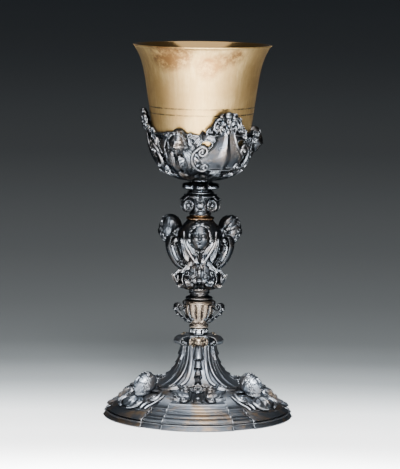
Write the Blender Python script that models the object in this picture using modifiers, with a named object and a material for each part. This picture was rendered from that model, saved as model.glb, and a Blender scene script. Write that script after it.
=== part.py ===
"""A baroque chalice: a gilt cup in a pierced silver calyx, on a knopped stem and a lobed foot.

Metres, +Z up, the front towards -Y. The pieces stack on the Z axis from the floor at z = 0 up to the
cup's rim. One tie rod clamps the foot and the stem, and the cup screws into the rod's coupling. The
cast ornament repeats three times round the axis. An azimuth grows from the front towards +X.
"""

import math

import bmesh
import bpy
from mathutils import Matrix, Vector

# Fits and fineness
FIT_GAP = 0.0003
WELD = 0.000001
REPEATS = 3
TURN_STEPS = 30
SMALL_TURN_STEPS = 20
ROD_STEPS = 12

# Foot
FOOT_RADIUS = 0.0650
FOOT_SHEET = 0.0013
FIELD_HOLLOW = 1.65
FIELD_SLOPE = 0.36
FIELD_SWEEP = 4.2
PLINTH_HEIGHT = 0.0039
PLINTH_WALL = 0.0016
PLINTH_FLARE = 0.0016
FOOT_HEIGHT = 0.0570
FIELD_HEIGHT = 0.0162
MOULDING_WIDTH = 0.0126
STEM_RADIUS = 0.0100
STEM_CEILING = 0.0032
WING_DROP = 0.0037
LOBE_DROP = 0.0030
DROP_INNER_RADIUS = 0.0400
BAY_HALF_ANGLE = math.radians(22.0)
WING_HALF_ANGLE = math.radians(36.5)
STEP_ANGLE = math.radians(0.6)
BAY_SETBACK = 0.0004
WING_SETBACK = 0.0009
LOBE_SETBACK = -0.0008

# Stem pieces, each height measured from seat to seat
BEAD_RING_HEIGHT = 0.0042
BEAD_RING_RADIUS = 0.0064
BEAD_COUNT = 9
BEAD_DEPTH = 0.0009
VASE_HEIGHT = 0.0195
VASE_RADIUS = 0.0116
VASE_NECK_RADIUS = 0.0066
VASE_FLUTES = 12
VASE_FLUTE_DEPTH = 0.0007
LOWER_RING_HEIGHT = 0.0063
LOWER_RING_RADIUS = 0.0096
LOWER_RING_NECK = 0.0064
KNOP_HEIGHT = 0.0495
KNOP_BULB_RADIUS = 0.0152
KNOP_WAIST_RADIUS = 0.0118
KNOP_SHOULDER_RADIUS = 0.0158
KNOP_NECK_RADIUS = 0.0090
KNOP_FOOT_RADIUS = 0.0074
KNOP_LEAVES = 9
KNOP_LEAF_DEPTH = 0.0012
NECK_RING_HEIGHT = 0.0035
NECK_RING_RADIUS = 0.0098
SPOOL_HEIGHT = 0.0145
SPOOL_TOP_RADIUS = 0.0112
SPOOL_WAIST_RADIUS = 0.0068
COLLAR_HEIGHT = 0.0108
COLLAR_RADIUS = 0.0136
COLLAR_NECK_RADIUS = 0.0082
COLLAR_LOBES = 6
COLLAR_LOBE_DEPTH = 0.0014

# Cup and calyx
CUP_HEIGHT = 0.0893
CUP_RIM_RADIUS = 0.0475
CUP_WAIST_RADIUS = 0.0343
CUP_WAIST_HEIGHT = 0.0293
CUP_BASE_RADIUS = 0.0080
CUP_WALL = 0.0012
CUP_FLOOR = 0.0022
WASHER_HEIGHT = 0.0012
WASHER_RADIUS = 0.0076
CALYX_SHEET = 0.0012
CALYX_CLEARANCE = 0.0007
CALYX_BASE_RADIUS = 0.0088
CALYX_DIP_HEIGHT = 0.0310
CALYX_PEAK = 0.0042
CALYX_CHERUB_PEAK = 0.0019
CALYX_TURN = math.radians(28.0)
CHERUB_TURN = math.radians(54.0)
WINDOW_LENGTH = 0.0062
WINDOW_HEIGHT = 0.0042
WINDOW_DROP = 0.0052
WINDOW_AZIMUTH = math.radians(22.0)
LEAF_COUNT = 12
LEAF_SHEET = 0.0010
LEAF_LENGTH = 0.0165
LEAF_NOTCH = 0.0040
LEAF_CURL = 0.0014

# Screwed joints inside
ROD_RADIUS = 0.0024
ROD_TAIL = 0.0030
STUD_RADIUS = 0.0026
STUD_LENGTH = 0.0100
STUD_FLANGE_RADIUS = 0.0055
COUPLING_RADIUS = 0.0042
SOCKET_CLEARANCE = 0.0020
ROD_ENGAGEMENT = 0.0100
FOOT_WASHER_CLEARANCE = 0.0015
FOOT_WASHER_HEIGHT = 0.0014
FOOT_WASHER_BORDER = 0.0012
NUT_HEIGHT = 0.0048

# Foot ornament
RIB_TOP_WIDTH = 0.0085
RIB_FOOT_WIDTH = 0.0180
RIB_SHEET = 0.0014
RIB_EDGE = 0.0010
RIB_FOOT_INSET = 0.0375
RIB_CURL = 0.0024
RIB_DROP = 0.0070
RIB_ROWS = 6
HUSK_COUNT = 4
HUSK_WIDTH = 0.0040
HUSK_SHEET = 0.0012
HUSK_SWELL = 0.0011
HUSK_FOOT_INSET = 0.0390
HUSK_GAP = 0.0005
BOSS_WIDTH = 0.0100
BOSS_HEIGHT = 0.0070
BOSS_DEPTH = 0.0060
BOSS_SINK = 0.0009
BOSS_DROP = 0.0040
SHELL_WIDTH = 0.0088
SHELL_RIBS = 5
SHELL_SHEET = 0.0012
SHELL_SWELL = 0.0014
SHELL_OUTER_INSET = 0.0210
SHELL_INNER_INSET = 0.0330
FRAME_TUBE = 0.0010
FOOT_HEAD_WIDTH = 0.0146
FOOT_HEAD_INSET = 0.0220
FOOT_HEAD_LIFT = 0.0070
FOOT_HEAD_TILT = math.radians(-32.0)
FOOT_WING_SPAN = 0.0340
FOOT_WING_LENGTH = 0.0190
FOOT_WING_ROWS = 9
WING_SHEET = 0.0014

# Stem ornament
EAR_WIDTH = 0.0060
EAR_BAND = 0.0017
EAR_REACH = 0.0078
EAR_CURL = 0.0021
BRACKET_WIDTH = 0.0046
BRACKET_BAND = 0.0019
BRACKET_REACH = 0.0104
BRACKET_CURL = 0.0034
KNOP_HEAD_WIDTH = 0.0152
KNOP_HEAD_REACH = 0.0094
KNOP_HEAD_DROP = 0.0065
KNOP_HEAD_TILT = math.radians(-14.0)
KNOP_WING_SPAN = 0.0150
KNOP_WING_LENGTH = 0.0120
SCROLL_WIDTH = 0.0056
SCROLL_CURL = 0.0040
SCROLL_BAND = 0.0016
SCROLL_RISE = 0.0068

# Calyx ornament
CALYX_HEAD_WIDTH = 0.0150
CALYX_HEAD_SINK = 0.0012
CALYX_HEAD_DROP = 0.0050
CALYX_HEAD_TILT = math.radians(6.0)
CALYX_WING_SPAN = 0.0230
CALYX_WING_LENGTH = 0.0090
SHIELD_WIDTH = 0.0340
SHIELD_NECK_WIDTH = 0.0090
SHIELD_LEAF_GAP = 0.0020
SHIELD_SHEET = 0.0012
SHIELD_RIDGE = 0.0012
SHIELD_TUBE = 0.0012
CREST_WIDTH = 0.0260
CREST_LENGTH = 0.0165
CREST_SHEET = 0.0013
CREST_RIBS = 7
CREST_SWELL = 0.0012
CREST_LEAN = 0.0016

# Seats of the stacked pieces
BEAD_SEAT = FOOT_HEIGHT + FIT_GAP
VASE_SEAT = BEAD_SEAT + BEAD_RING_HEIGHT + FIT_GAP
LOWER_RING_SEAT = VASE_SEAT + VASE_HEIGHT + FIT_GAP
KNOP_SEAT = LOWER_RING_SEAT + LOWER_RING_HEIGHT + FIT_GAP
NECK_RING_SEAT = KNOP_SEAT + KNOP_HEIGHT + FIT_GAP
SPOOL_SEAT = NECK_RING_SEAT + NECK_RING_HEIGHT + FIT_GAP
COLLAR_SEAT = SPOOL_SEAT + SPOOL_HEIGHT + FIT_GAP
CALYX_SEAT = COLLAR_SEAT + COLLAR_HEIGHT + FIT_GAP
WASHER_SEAT = CALYX_SEAT + CALYX_SHEET + FIT_GAP
CUP_SEAT = WASHER_SEAT + WASHER_HEIGHT + FIT_GAP
COUPLING_TOP = CALYX_SEAT + CALYX_SHEET

# Bores, ends and radii that follow what they fit
ROD_BORE = ROD_RADIUS + FIT_GAP
STUD_BORE = STUD_RADIUS + FIT_GAP
COUPLING_BORE = COUPLING_RADIUS + FIT_GAP
COUPLING_FOOT = NECK_RING_SEAT
STUD_FLANGE_HEIGHT = WASHER_HEIGHT - FIT_GAP
STUD_TIP = CUP_SEAT - FIT_GAP - STUD_LENGTH
FOOT_WASHER_RADIUS = STEM_RADIUS - FOOT_SHEET - FOOT_WASHER_CLEARANCE
NUT_RADIUS = FOOT_WASHER_RADIUS - FOOT_WASHER_BORDER

# Azimuths of the first of each ornament, the others following at equal turns
RIB_AZIMUTH = math.pi / REPEATS
BAY_AZIMUTH = 0.0
CARTOUCHE_AZIMUTH = CALYX_TURN
CALYX_CHERUB_AZIMUTH = CALYX_TURN - CHERUB_TURN

# Finishes: name, linear colour, roughness and metallic
DARK_SILVER = ("oxidised_silver", (0.16, 0.165, 0.18), 0.38, 1.0)
WORN_SILVER = ("worn_silver_gilt", (0.34, 0.30, 0.24), 0.34, 1.0)
GILT = ("pale_gilt", (0.74, 0.62, 0.38), 0.30, 1.0)
STEEL = ("screw_steel", (0.30, 0.29, 0.28), 0.45, 1.0)


# Helpers for finishes, objects and meshes

def material(finish):
    """The Principled material of a finish, made once."""
    name, colour, roughness, metallic = finish
    found = bpy.data.materials.get(name)
    if found:
        return found
    made = bpy.data.materials.new(name)
    made.use_nodes = True
    shader = made.node_tree.nodes["Principled BSDF"]
    shader.inputs["Base Color"].default_value = (*colour, 1.0)
    shader.inputs["Roughness"].default_value = roughness
    shader.inputs["Metallic"].default_value = metallic
    return made


def collection(name):
    found = bpy.data.collections.get(name)
    if found:
        return found
    made = bpy.data.collections.new(name)
    bpy.context.scene.collection.children.link(made)
    return made


def helper(name, data):
    """An object that only shapes others, so the finished part leaves it out."""
    obj = bpy.data.objects.new(name, data)
    obj.hide_render = True
    obj.display_type = "WIRE"
    collection("chalice_helpers").objects.link(obj)
    return obj


def piece(name, mesh, finish, azimuth=0.0):
    """One named piece of the chalice, turned about the Z axis to its azimuth."""
    obj = bpy.data.objects.new(name, mesh)
    obj.rotation_euler = (0.0, 0.0, azimuth)
    if not mesh.materials:
        mesh.materials.append(material(finish))
    mesh.shade_smooth()
    mesh.set_sharp_from_angle(angle=math.radians(35.0))
    collection("chalice").objects.link(obj)
    return obj


def repeated(name, mesh, finish, azimuth):
    """The same casting at its azimuth and at each equal turn from it."""
    for number in range(REPEATS):
        piece(f"{name}_{number + 1}", mesh, finish, azimuth + number * math.tau / REPEATS)


def settled(obj):
    """The mesh that an object's modifiers make. The object itself is removed."""
    bpy.context.view_layer.update()
    graph = bpy.context.evaluated_depsgraph_get()
    mesh = bpy.data.meshes.new_from_object(obj.evaluated_get(graph))
    bpy.data.objects.remove(obj)
    return mesh


def mesh_of(form):
    mesh = bpy.data.meshes.new("form")
    form.to_mesh(mesh)
    form.free()
    return mesh


def welded(mesh):
    """Merges a curve's caps with its sides and points its faces outwards."""
    form = bmesh.new()
    form.from_mesh(mesh)
    bmesh.ops.remove_doubles(form, verts=form.verts, dist=WELD)
    bmesh.ops.recalc_face_normals(form, faces=form.faces)
    return mesh_of(form)


def combined(base, others, operation):
    """The base mesh joined to, or cut by, each of the other meshes in turn."""
    obj = helper("worked_piece", base)
    tools = [helper("boolean_tool", mesh) for mesh in others]
    for tool in tools:
        step = obj.modifiers.new("boolean", "BOOLEAN")
        step.operation = operation
        step.solver = "EXACT"
        step.object = tool
    mesh = settled(obj)
    for tool in tools:
        bpy.data.objects.remove(tool)
    return mesh


def joined(base, *others):
    return combined(base, others, "UNION")


def cut(base, *others):
    return combined(base, others, "DIFFERENCE")


def moved(mesh, place):
    """The mesh with each vertex put where the function says."""
    for vertex in mesh.vertices:
        vertex.co = place(vertex.co)
    return mesh


def about_axis(mesh, azimuth):
    mesh.transform(Matrix.Rotation(azimuth, 4, "Z"))
    return mesh


def round_axis(radius, azimuth, height):
    return Vector((radius * math.sin(azimuth), -radius * math.cos(azimuth), height))


# Shapes

def screwed(outline, steps, closed):
    mesh = bpy.data.meshes.new("outline")
    edges = [(index, index + 1) for index in range(len(outline) - 1)]
    if closed:
        edges.append((len(outline) - 1, 0))
    mesh.from_pydata([(radius, 0.0, height) for radius, height in outline], edges, [])
    obj = helper("turned", mesh)
    screw = obj.modifiers.new("screw", "SCREW")
    screw.axis = "Z"
    screw.steps = steps
    screw.render_steps = steps
    screw.use_merge_vertices = True
    screw.merge_threshold = WELD
    return about_axis(settled(obj), -math.pi / 2.0)


def turned(outline, steps):
    """A bored solid of revolution, from its (radius, height) outline listed down the outer side."""
    return screwed(outline, steps, closed=True)


def turned_core(outline, steps):
    """A solid of revolution without a bore, whose outline runs down from axis to axis."""
    return screwed(outline, steps, closed=False)


def sleeve(radius, bore, low, high):
    return turned([(bore, high), (radius, high), (radius, low), (bore, low)], ROD_STEPS)


def surface(columns, rows, place, sheet):
    """A sheet whose front lies where place(u, v) says, u and v running from 0 to 1."""
    form = bmesh.new()
    bmesh.ops.create_grid(form, x_segments=columns, y_segments=rows, size=0.5)
    for vertex in form.verts:
        vertex.co = place(vertex.co.x + 0.5, vertex.co.y + 0.5)
    bmesh.ops.remove_doubles(form, verts=form.verts, dist=WELD)
    obj = helper("sheet", mesh_of(form))
    wall = obj.modifiers.new("wall", "SOLIDIFY")
    wall.thickness = sheet
    wall.offset = -1.0
    wall.use_even_offset = True
    return settled(obj)


def ball(size, centre, segments=8, rings=6, tilt=0.0):
    """An ellipsoid of that width, depth and height, tilted about X."""
    form = bmesh.new()
    bmesh.ops.create_uvsphere(form, u_segments=segments, v_segments=rings, radius=0.5)
    place = Matrix.Translation(centre) @ Matrix.Rotation(tilt, 4, "X") @ Matrix.Diagonal((*size, 1.0))
    bmesh.ops.transform(form, matrix=place, verts=form.verts)
    return mesh_of(form)


def flat_band(points, half_width):
    """A closed (radius, height) outline, filled and given a width across, standing at azimuth 0."""
    data = bpy.data.curves.new("outline", "CURVE")
    data.dimensions = "2D"
    data.fill_mode = "BOTH"
    data.extrude = half_width
    spline = data.splines.new("POLY")
    spline.points.add(len(points) - 1)
    for point, (x, y) in zip(spline.points, points):
        point.co = (x, y, 0.0, 1.0)
    spline.use_cyclic_u = True
    mesh = welded(settled(helper("flat_outline", data)))
    mesh.transform(Matrix(((0, 0, -1, 0), (-1, 0, 0, 0), (0, 1, 0, 0), (0, 0, 0, 1))))
    return mesh


def tube(points, radius):
    """A round rod along the points, with closed ends."""
    data = bpy.data.curves.new("tube", "CURVE")
    data.dimensions = "3D"
    data.bevel_depth = radius
    data.bevel_resolution = 0
    data.use_fill_caps = True
    spline = data.splines.new("POLY")
    spline.points.add(len(points) - 1)
    for point, place in zip(spline.points, points):
        point.co = (*place, 1.0)
    return welded(settled(helper("tube", data)))


def arc(centre, radius, start, end, count):
    """Points on an arc, with its angles in degrees from the first axis towards the second."""
    points = []
    for index in range(count + 1):
        angle = math.radians(start + (end - start) * index / count)
        points.append((centre[0] + radius * math.cos(angle), centre[1] + radius * math.sin(angle)))
    return points


def strap(line, band):
    """The closed outline of a band of even thickness along a line."""
    left, right = [], []
    last = len(line) - 1
    for index, point in enumerate(line):
        along = (Vector(line[min(index + 1, last)]) - Vector(line[max(index - 1, 0)])).normalized()
        across = Vector((-along.y, along.x)) * band / 2.0
        left.append(tuple(Vector(point) + across))
        right.append(tuple(Vector(point) - across))
    return left + right[::-1]


class Run:
    """A surface of revolution as (radius, height) points from low to high, read along its length."""

    def __init__(self, points):
        self.points = [Vector(point) for point in points]
        self.reach = [0.0]
        for before, after in zip(self.points, self.points[1:]):
            self.reach.append(self.reach[-1] + (after - before).length)

    def at(self, distance):
        """The point at a distance along the run, and the direction out of the surface there."""
        index = 1
        while index < len(self.reach) - 1 and self.reach[index] < distance:
            index += 1
        before, after = self.points[index - 1], self.points[index]
        along = (after - before).normalized()
        return before + along * (distance - self.reach[index - 1]), Vector((along.y, -along.x))

    def distance_at_height(self, height):
        for index, (before, after) in enumerate(zip(self.points, self.points[1:])):
            if before.y <= height <= after.y and after.y > before.y:
                share = (height - before.y) / (after.y - before.y)
                return self.reach[index] + share * (self.reach[index + 1] - self.reach[index])
        return self.reach[-1]

    def distance_at_radius(self, radius):
        """The first distance, going up, at which a shrinking run has come down to the radius."""
        for index, (before, after) in enumerate(zip(self.points, self.points[1:])):
            if after.x <= radius <= before.x and before.x > after.x:
                share = (before.x - radius) / (before.x - after.x)
                return self.reach[index] + share * (self.reach[index + 1] - self.reach[index])
        return 0.0

    def radius_at_height(self, height):
        return self.at(self.distance_at_height(height))[0].x

    def pushed(self, distance):
        """The same run, moved out of its surface by a distance."""
        points = []
        last = len(self.points) - 1
        for index, point in enumerate(self.points):
            along = (self.points[min(index + 1, last)] - self.points[max(index - 1, 0)]).normalized()
            points.append(point + Vector((along.y, -along.x)) * distance)
        return Run(points)

    def place(self, across, distance, out):
        """A point of a relief laid on the surface at azimuth 0."""
        return self.around(across / self.at(distance)[0].x, distance, out)

    def around(self, azimuth, distance, out):
        """A point at an azimuth and a distance along the run, standing out of its surface."""
        on, normal = self.at(distance)
        where = on + normal * out
        return round_axis(where.x, azimuth, where.y)

    def core(self, gap):
        """The solid inside the surface grown by a gap, which cuts what is seated on it."""
        grown = self.pushed(gap).points
        reach = self.reach[-1]
        outline = [(0.0, grown[-1].y + reach), (grown[-1].x, grown[-1].y + reach)]
        outline += [tuple(point) for point in grown[::-1]]
        outline += [(grown[0].x, grown[0].y - reach), (0.0, grown[0].y - reach)]
        return turned_core(outline, TURN_STEPS)


def fluted(mesh, count, depth, low, high):
    """Draws the surface in between the crests of flutes or beads, over a range of heights."""

    def place(co):
        if not low <= co.z <= high:
            return co
        radius = math.hypot(co.x, co.y)
        azimuth = math.atan2(co.x, -co.y)
        drawn = radius - depth * (0.5 - 0.5 * math.cos(count * azimuth))
        return round_axis(drawn, azimuth, co.z)

    return moved(mesh, place)


# Foot

FOOT_COLUMNS = 7
BAY_COLUMNS = 2
FOOT_STEPS = 2 * FOOT_COLUMNS * REPEATS
FIELD_SHARES = (0.0, 0.07, 0.15, 0.30, 0.45, 0.58, 0.70, 0.81, 0.91)
LINING_SHARES = (0.0, 0.30, 0.58, 0.81)

# Steps of the foot's moulding: share of its width, and of its height
MOULDING_STEPS = ((0.05, 0.00), (0.03, 0.09), (0.13, 0.23), (0.32, 0.31), (0.37, 0.39),
                  (0.60, 0.48), (0.67, 0.62), (0.79, 0.72), (0.90, 0.77), (0.93, 0.95))
MOULDING_LINING = ((0.59, 0.31), (0.98, 0.68))
MOULDING_CRESTS = (1, 2, 4, 9)


def field_point(share):
    """A point of the foot's upper surface, from the moulding at 0 to the stem's top at 1."""
    outer = FOOT_RADIUS - MOULDING_WIDTH
    radius = STEM_RADIUS + (outer - STEM_RADIUS) * (1.0 - share) ** FIELD_HOLLOW
    climb = FIELD_SLOPE * share + (1.0 - FIELD_SLOPE) * share**FIELD_SWEEP
    return radius, FIELD_HEIGHT + (FOOT_HEIGHT - FIELD_HEIGHT) * climb


def moulding_point(across, up):
    base = PLINTH_HEIGHT + FIT_GAP
    return FOOT_RADIUS - MOULDING_WIDTH * across, base + (FIELD_HEIGHT - base) * up


FOOT_RUN = Run([field_point(share) for share in FIELD_SHARES] + [field_point(1.0)])


def lobe_share(column):
    """0 at a lobe's edge and 1 at its middle."""
    first = BAY_COLUMNS + 3
    return (column - first) / (FOOT_COLUMNS - first)


def column_azimuth(column):
    """The plan angle of a column of the foot, from a bay's middle to a lobe's middle."""
    if column <= BAY_COLUMNS:
        return BAY_HALF_ANGLE * column / BAY_COLUMNS
    if column == BAY_COLUMNS + 1:
        return BAY_HALF_ANGLE + STEP_ANGLE
    if column == BAY_COLUMNS + 2:
        return WING_HALF_ANGLE
    lobe_start = WING_HALF_ANGLE + STEP_ANGLE
    return lobe_start + (math.pi / REPEATS - lobe_start) * lobe_share(column)


def setback(column):
    """How far the foot's edge lies inside the full circle at a column."""
    if column <= BAY_COLUMNS:
        return BAY_SETBACK * (column / BAY_COLUMNS) ** 2
    if column <= BAY_COLUMNS + 2:
        return WING_SETBACK
    return LOBE_SETBACK * (1.0 - lobe_share(column)) ** 2


def lowered(radius, height, drop):
    """A height of the foot's profile where it lies lower than a bay, by most at the field's edge."""
    base = PLINTH_HEIGHT + FIT_GAP
    edge = FOOT_RADIUS - MOULDING_WIDTH
    out = min(max((radius - DROP_INNER_RADIUS) / (edge - DROP_INNER_RADIUS), 0.0), 1.0)
    up = min(max((height - base) / (FIELD_HEIGHT - FOOT_SHEET - base), 0.0), 1.0)
    return height - drop * up * out * out * (3.0 - 2.0 * out)


LOBE_PROFILE = [moulding_point(*MOULDING_STEPS[index]) for index in MOULDING_CRESTS]
LOBE_PROFILE += [field_point(share) for share in (*FIELD_SHARES, 1.0)]
LOBE_RUN = Run([(radius, lowered(radius, height, LOBE_DROP)) for radius, height in LOBE_PROFILE])


def foot_plan(co):
    """Moves a point of the turned foot on to the lobed and stepped plan."""
    radius = math.hypot(co.x, co.y)
    index = round(math.atan2(co.x, -co.y) % math.tau / math.tau * FOOT_STEPS) % FOOT_STEPS
    sector, column = divmod(index, 2 * FOOT_COLUMNS)
    mirrored = column > FOOT_COLUMNS
    column = 2 * FOOT_COLUMNS - column if mirrored else column
    turn = -column_azimuth(column) if mirrored else column_azimuth(column)
    azimuth = (sector + mirrored) * math.tau / REPEATS + turn
    field_radius = FOOT_RADIUS - MOULDING_WIDTH
    edge = min(max((radius - 0.7 * field_radius) / (FOOT_RADIUS - 0.7 * field_radius), 0.0), 1.0)
    height = co.z
    if column > BAY_COLUMNS:
        drop = LOBE_DROP if column > BAY_COLUMNS + 2 else WING_DROP
        height = lowered(radius, height, drop)
    return round_axis(radius - setback(column) * edge, azimuth, height)


def foot_dome():
    """The raised and hollow foot with the lower stem, in one sheet."""
    outer = [(ROD_BORE, FOOT_HEIGHT), field_point(1.0)]
    outer += [field_point(share) for share in FIELD_SHARES[::-1]]
    outer += [moulding_point(across, up) for across, up in MOULDING_STEPS[::-1]]
    base = PLINTH_HEIGHT + FIT_GAP
    lining = [(FOOT_RADIUS - PLINTH_WALL, base)]
    lining += [moulding_point(across, up) for across, up in MOULDING_LINING]
    inside = FOOT_RUN.pushed(-FOOT_SHEET)
    lining += [tuple(inside.points[FIELD_SHARES.index(share)]) for share in LINING_SHARES]
    ceiling = FOOT_HEIGHT - STEM_CEILING
    lining += [(inside.points[-1].x, ceiling), (ROD_BORE, ceiling)]
    return moved(turned(outer + lining, FOOT_STEPS), foot_plan)


def foot_plinth():
    """The upright edge strip that the chalice stands on."""
    outline = [(FOOT_RADIUS - PLINTH_WALL, PLINTH_HEIGHT), (FOOT_RADIUS, PLINTH_HEIGHT),
               (FOOT_RADIUS + PLINTH_FLARE, 0.0), (FOOT_RADIUS + PLINTH_FLARE - PLINTH_WALL, 0.0)]
    return moved(turned(outline, FOOT_STEPS), foot_plan)


def foot_rib():
    """A broad strap with rolled edges, down the stem and out on the foot, curled over at its top."""
    low = FOOT_RUN.distance_at_radius(FOOT_RADIUS - RIB_FOOT_INSET)
    high = FOOT_RUN.distance_at_height(FOOT_HEIGHT - RIB_DROP)
    top, out = FOOT_RUN.at(high)
    centre = top + out * (FIT_GAP + RIB_SHEET + RIB_CURL)
    curl = arc(centre, RIB_CURL, 180.0, -60.0, 5)
    path = []
    for step in range(RIB_ROWS + 1):
        on, out = FOOT_RUN.at(low + (high - low) * step / RIB_ROWS)
        path.append(on + out * (FIT_GAP + RIB_SHEET))
    path += [Vector(point) for point in curl[1:]]
    rows = len(path) - 1
    edges = (-1.0, -0.72, -0.4, 0.4, 0.72, 1.0)

    def place(u, v):
        on = path[round(v * rows)]
        side = edges[round(u * (len(edges) - 1))]
        fall = 1.0 - min(v * rows / RIB_ROWS, 1.0)
        width = RIB_TOP_WIDTH + (RIB_FOOT_WIDTH - RIB_TOP_WIDTH) * fall
        roll = RIB_EDGE if 0.5 < abs(side) < 0.9 else 0.0
        return round_axis(on.x + roll, side * width / 2.0 / on.x, on.y + roll * fall)

    return surface(len(edges) - 1, rows, place, RIB_SHEET)


def husk_drop():
    """A hanging chain of husks down the panel between two ribs."""
    low = FOOT_RUN.distance_at_radius(FOOT_RADIUS - HUSK_FOOT_INSET)
    boss_foot = FOOT_HEIGHT - BOSS_DROP - BOSS_HEIGHT / 2.0
    high = FOOT_RUN.distance_at_height(boss_foot - HUSK_GAP)
    rows = 3 * HUSK_COUNT

    def place(u, v):
        swell = (0.35, 1.0, 0.8)[round(v * rows) % 3]
        side = 2.0 * u - 1.0
        out = FIT_GAP + HUSK_SHEET + HUSK_SWELL * swell * (1.0 - side * side)
        return FOOT_RUN.place(side * HUSK_WIDTH / 2.0 * swell, low + (high - low) * v, out)

    return surface(2, rows, place, HUSK_SHEET)


def stem_boss():
    """The small gilt console at the head of a stem panel."""
    centre = round_axis(STEM_RADIUS + BOSS_DEPTH / 2.0 - BOSS_SINK, 0.0, FOOT_HEIGHT - BOSS_DROP)
    shape = ball((BOSS_WIDTH, BOSS_DEPTH, BOSS_HEIGHT), centre)
    return cut(shape, FOOT_RUN.core(FIT_GAP))


def foot_shell():
    """A small shell between two C-scrolls on a bay of the foot."""
    low = FOOT_RUN.distance_at_radius(FOOT_RADIUS - SHELL_OUTER_INSET)
    high = FOOT_RUN.distance_at_radius(FOOT_RADIUS - SHELL_INNER_INSET)
    columns = 2 * SHELL_RIBS
    spread = 0.72 * SHELL_WIDTH

    def place(u, v):
        side = 2.0 * u - 1.0
        rib = 0.6 + 0.4 * math.cos(columns * math.pi * u)
        width = SHELL_WIDTH / 2.0 * (0.55 + 0.45 * math.sin(math.pi * (0.15 + 0.7 * v)))
        bulge = SHELL_SWELL * rib * math.sin(math.pi * (0.1 + 0.8 * v)) * (1.0 - 0.5 * side * side)
        return FOOT_RUN.place(side * width, low + (high - low) * v, FIT_GAP + SHELL_SHEET + bulge)

    shell = surface(columns, 3, place, SHELL_SHEET)
    frames = []
    for hand in (-1.0, 1.0):
        points = []
        for bow, up in arc((0.0, 0.5), 0.5, -100.0, 100.0, 6):
            across = hand * (spread - 0.6 * SHELL_WIDTH * bow)
            points.append(FOOT_RUN.place(across, low + (high - low) * up, FIT_GAP + 1.6 * FRAME_TUBE))
        frames.append(tube(points, FRAME_TUBE))
    return joined(shell, *frames)


def cherub_head(width, centre, tilt):
    """A child's head of plain egg shape with a cap of curls, facing the front."""
    head = ball((width * 0.86, width * 0.92, width * 1.12), centre, 8, 6, tilt)
    back = Matrix.Rotation(tilt, 3, "X") @ Vector((0.0, width * 0.16, width * 0.20))
    hair = ball((width * 1.05, width * 0.95, width * 0.98), centre + back, 8, 5, tilt)
    return head, hair


def wing_pair(run, distance, span, length, rows=2):
    """Two spread wings as one sheet laid on a surface, lowest between them."""

    def place(u, v):
        side = 2.0 * u - 1.0
        lift = length * (0.15 + 0.55 * abs(side) - 0.35 * abs(side) ** 3)
        depth = length * (0.95 - 0.55 * side * side)
        along = distance + lift + depth * (v - 1.0)
        return run.place(side * span / 2.0, along, FIT_GAP + WING_SHEET + 0.4 * WING_SHEET * v)

    return surface(6, rows, place, WING_SHEET)


def foot_cherub():
    """A winged cherub head on a lobe of the foot."""
    radius = FOOT_RADIUS - FOOT_HEAD_INSET
    under = LOBE_RUN.distance_at_radius(radius)
    ground = LOBE_RUN.at(under)[0].y
    centre = round_axis(radius, 0.0, ground + FOOT_HEAD_LIFT)
    head, hair = cherub_head(FOOT_HEAD_WIDTH, centre, FOOT_HEAD_TILT)
    chest = ball((FOOT_HEAD_WIDTH * 0.8, FOOT_HEAD_WIDTH * 0.9, FOOT_HEAD_LIFT * 1.5),
                 round_axis(radius, 0.0, ground + FOOT_HEAD_LIFT / 2.0), 6, 4)
    raised = LOBE_RUN.pushed(FIT_GAP)
    wings = wing_pair(raised, under, FOOT_WING_SPAN, FOOT_WING_LENGTH, FOOT_WING_ROWS)
    return joined(cut(joined(head, hair, chest), LOBE_RUN.core(FIT_GAP)), wings)


def make_foot():
    piece("foot_plinth", foot_plinth(), DARK_SILVER)
    piece("foot_dome", foot_dome(), DARK_SILVER)
    repeated("foot_rib", foot_rib(), DARK_SILVER, RIB_AZIMUTH)
    repeated("husk_drop", husk_drop(), DARK_SILVER, BAY_AZIMUTH)
    repeated("stem_boss", stem_boss(), GILT, BAY_AZIMUTH)
    repeated("foot_shell", foot_shell(), DARK_SILVER, BAY_AZIMUTH)
    repeated("foot_cherub", foot_cherub(), DARK_SILVER, RIB_AZIMUTH)


# Stem

def profile(seat, height, shape, bore):
    """A bored stem piece from (radius, share of height) points listed from its seat up."""
    outer = [(radius, seat + height * up) for radius, up in shape[::-1]]
    return [(bore, seat + height)] + outer + [(bore, seat)]


def bead_ring():
    shape = ((BEAD_RING_RADIUS - BEAD_DEPTH, 0.0), (BEAD_RING_RADIUS, 0.3),
             (BEAD_RING_RADIUS, 0.7), (BEAD_RING_RADIUS - BEAD_DEPTH, 1.0))
    mesh = turned(profile(BEAD_SEAT, BEAD_RING_HEIGHT, shape, ROD_BORE), 3 * BEAD_COUNT)
    low = BEAD_SEAT + 0.2 * BEAD_RING_HEIGHT
    return fluted(mesh, BEAD_COUNT, BEAD_DEPTH, low, low + 0.6 * BEAD_RING_HEIGHT)


VASE_SHAPE = ((VASE_NECK_RADIUS * 0.95, 0.0), (VASE_NECK_RADIUS, 0.10), (VASE_NECK_RADIUS, 0.18),
              (VASE_RADIUS * 0.72, 0.30), (VASE_RADIUS * 0.90, 0.62), (VASE_RADIUS * 0.97, 0.84),
              (VASE_RADIUS, 0.90), (VASE_RADIUS, 0.97), (VASE_RADIUS * 0.88, 1.0))
VASE_RUN = Run([(radius, VASE_SEAT + VASE_HEIGHT * up) for radius, up in VASE_SHAPE])


def vase_knop():
    """The small fluted vase above the bead ring."""
    mesh = turned(profile(VASE_SEAT, VASE_HEIGHT, VASE_SHAPE, ROD_BORE), 2 * VASE_FLUTES)
    return fluted(mesh, VASE_FLUTES, VASE_FLUTE_DEPTH,
                  VASE_SEAT + 0.25 * VASE_HEIGHT, VASE_SEAT + 0.86 * VASE_HEIGHT)


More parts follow.
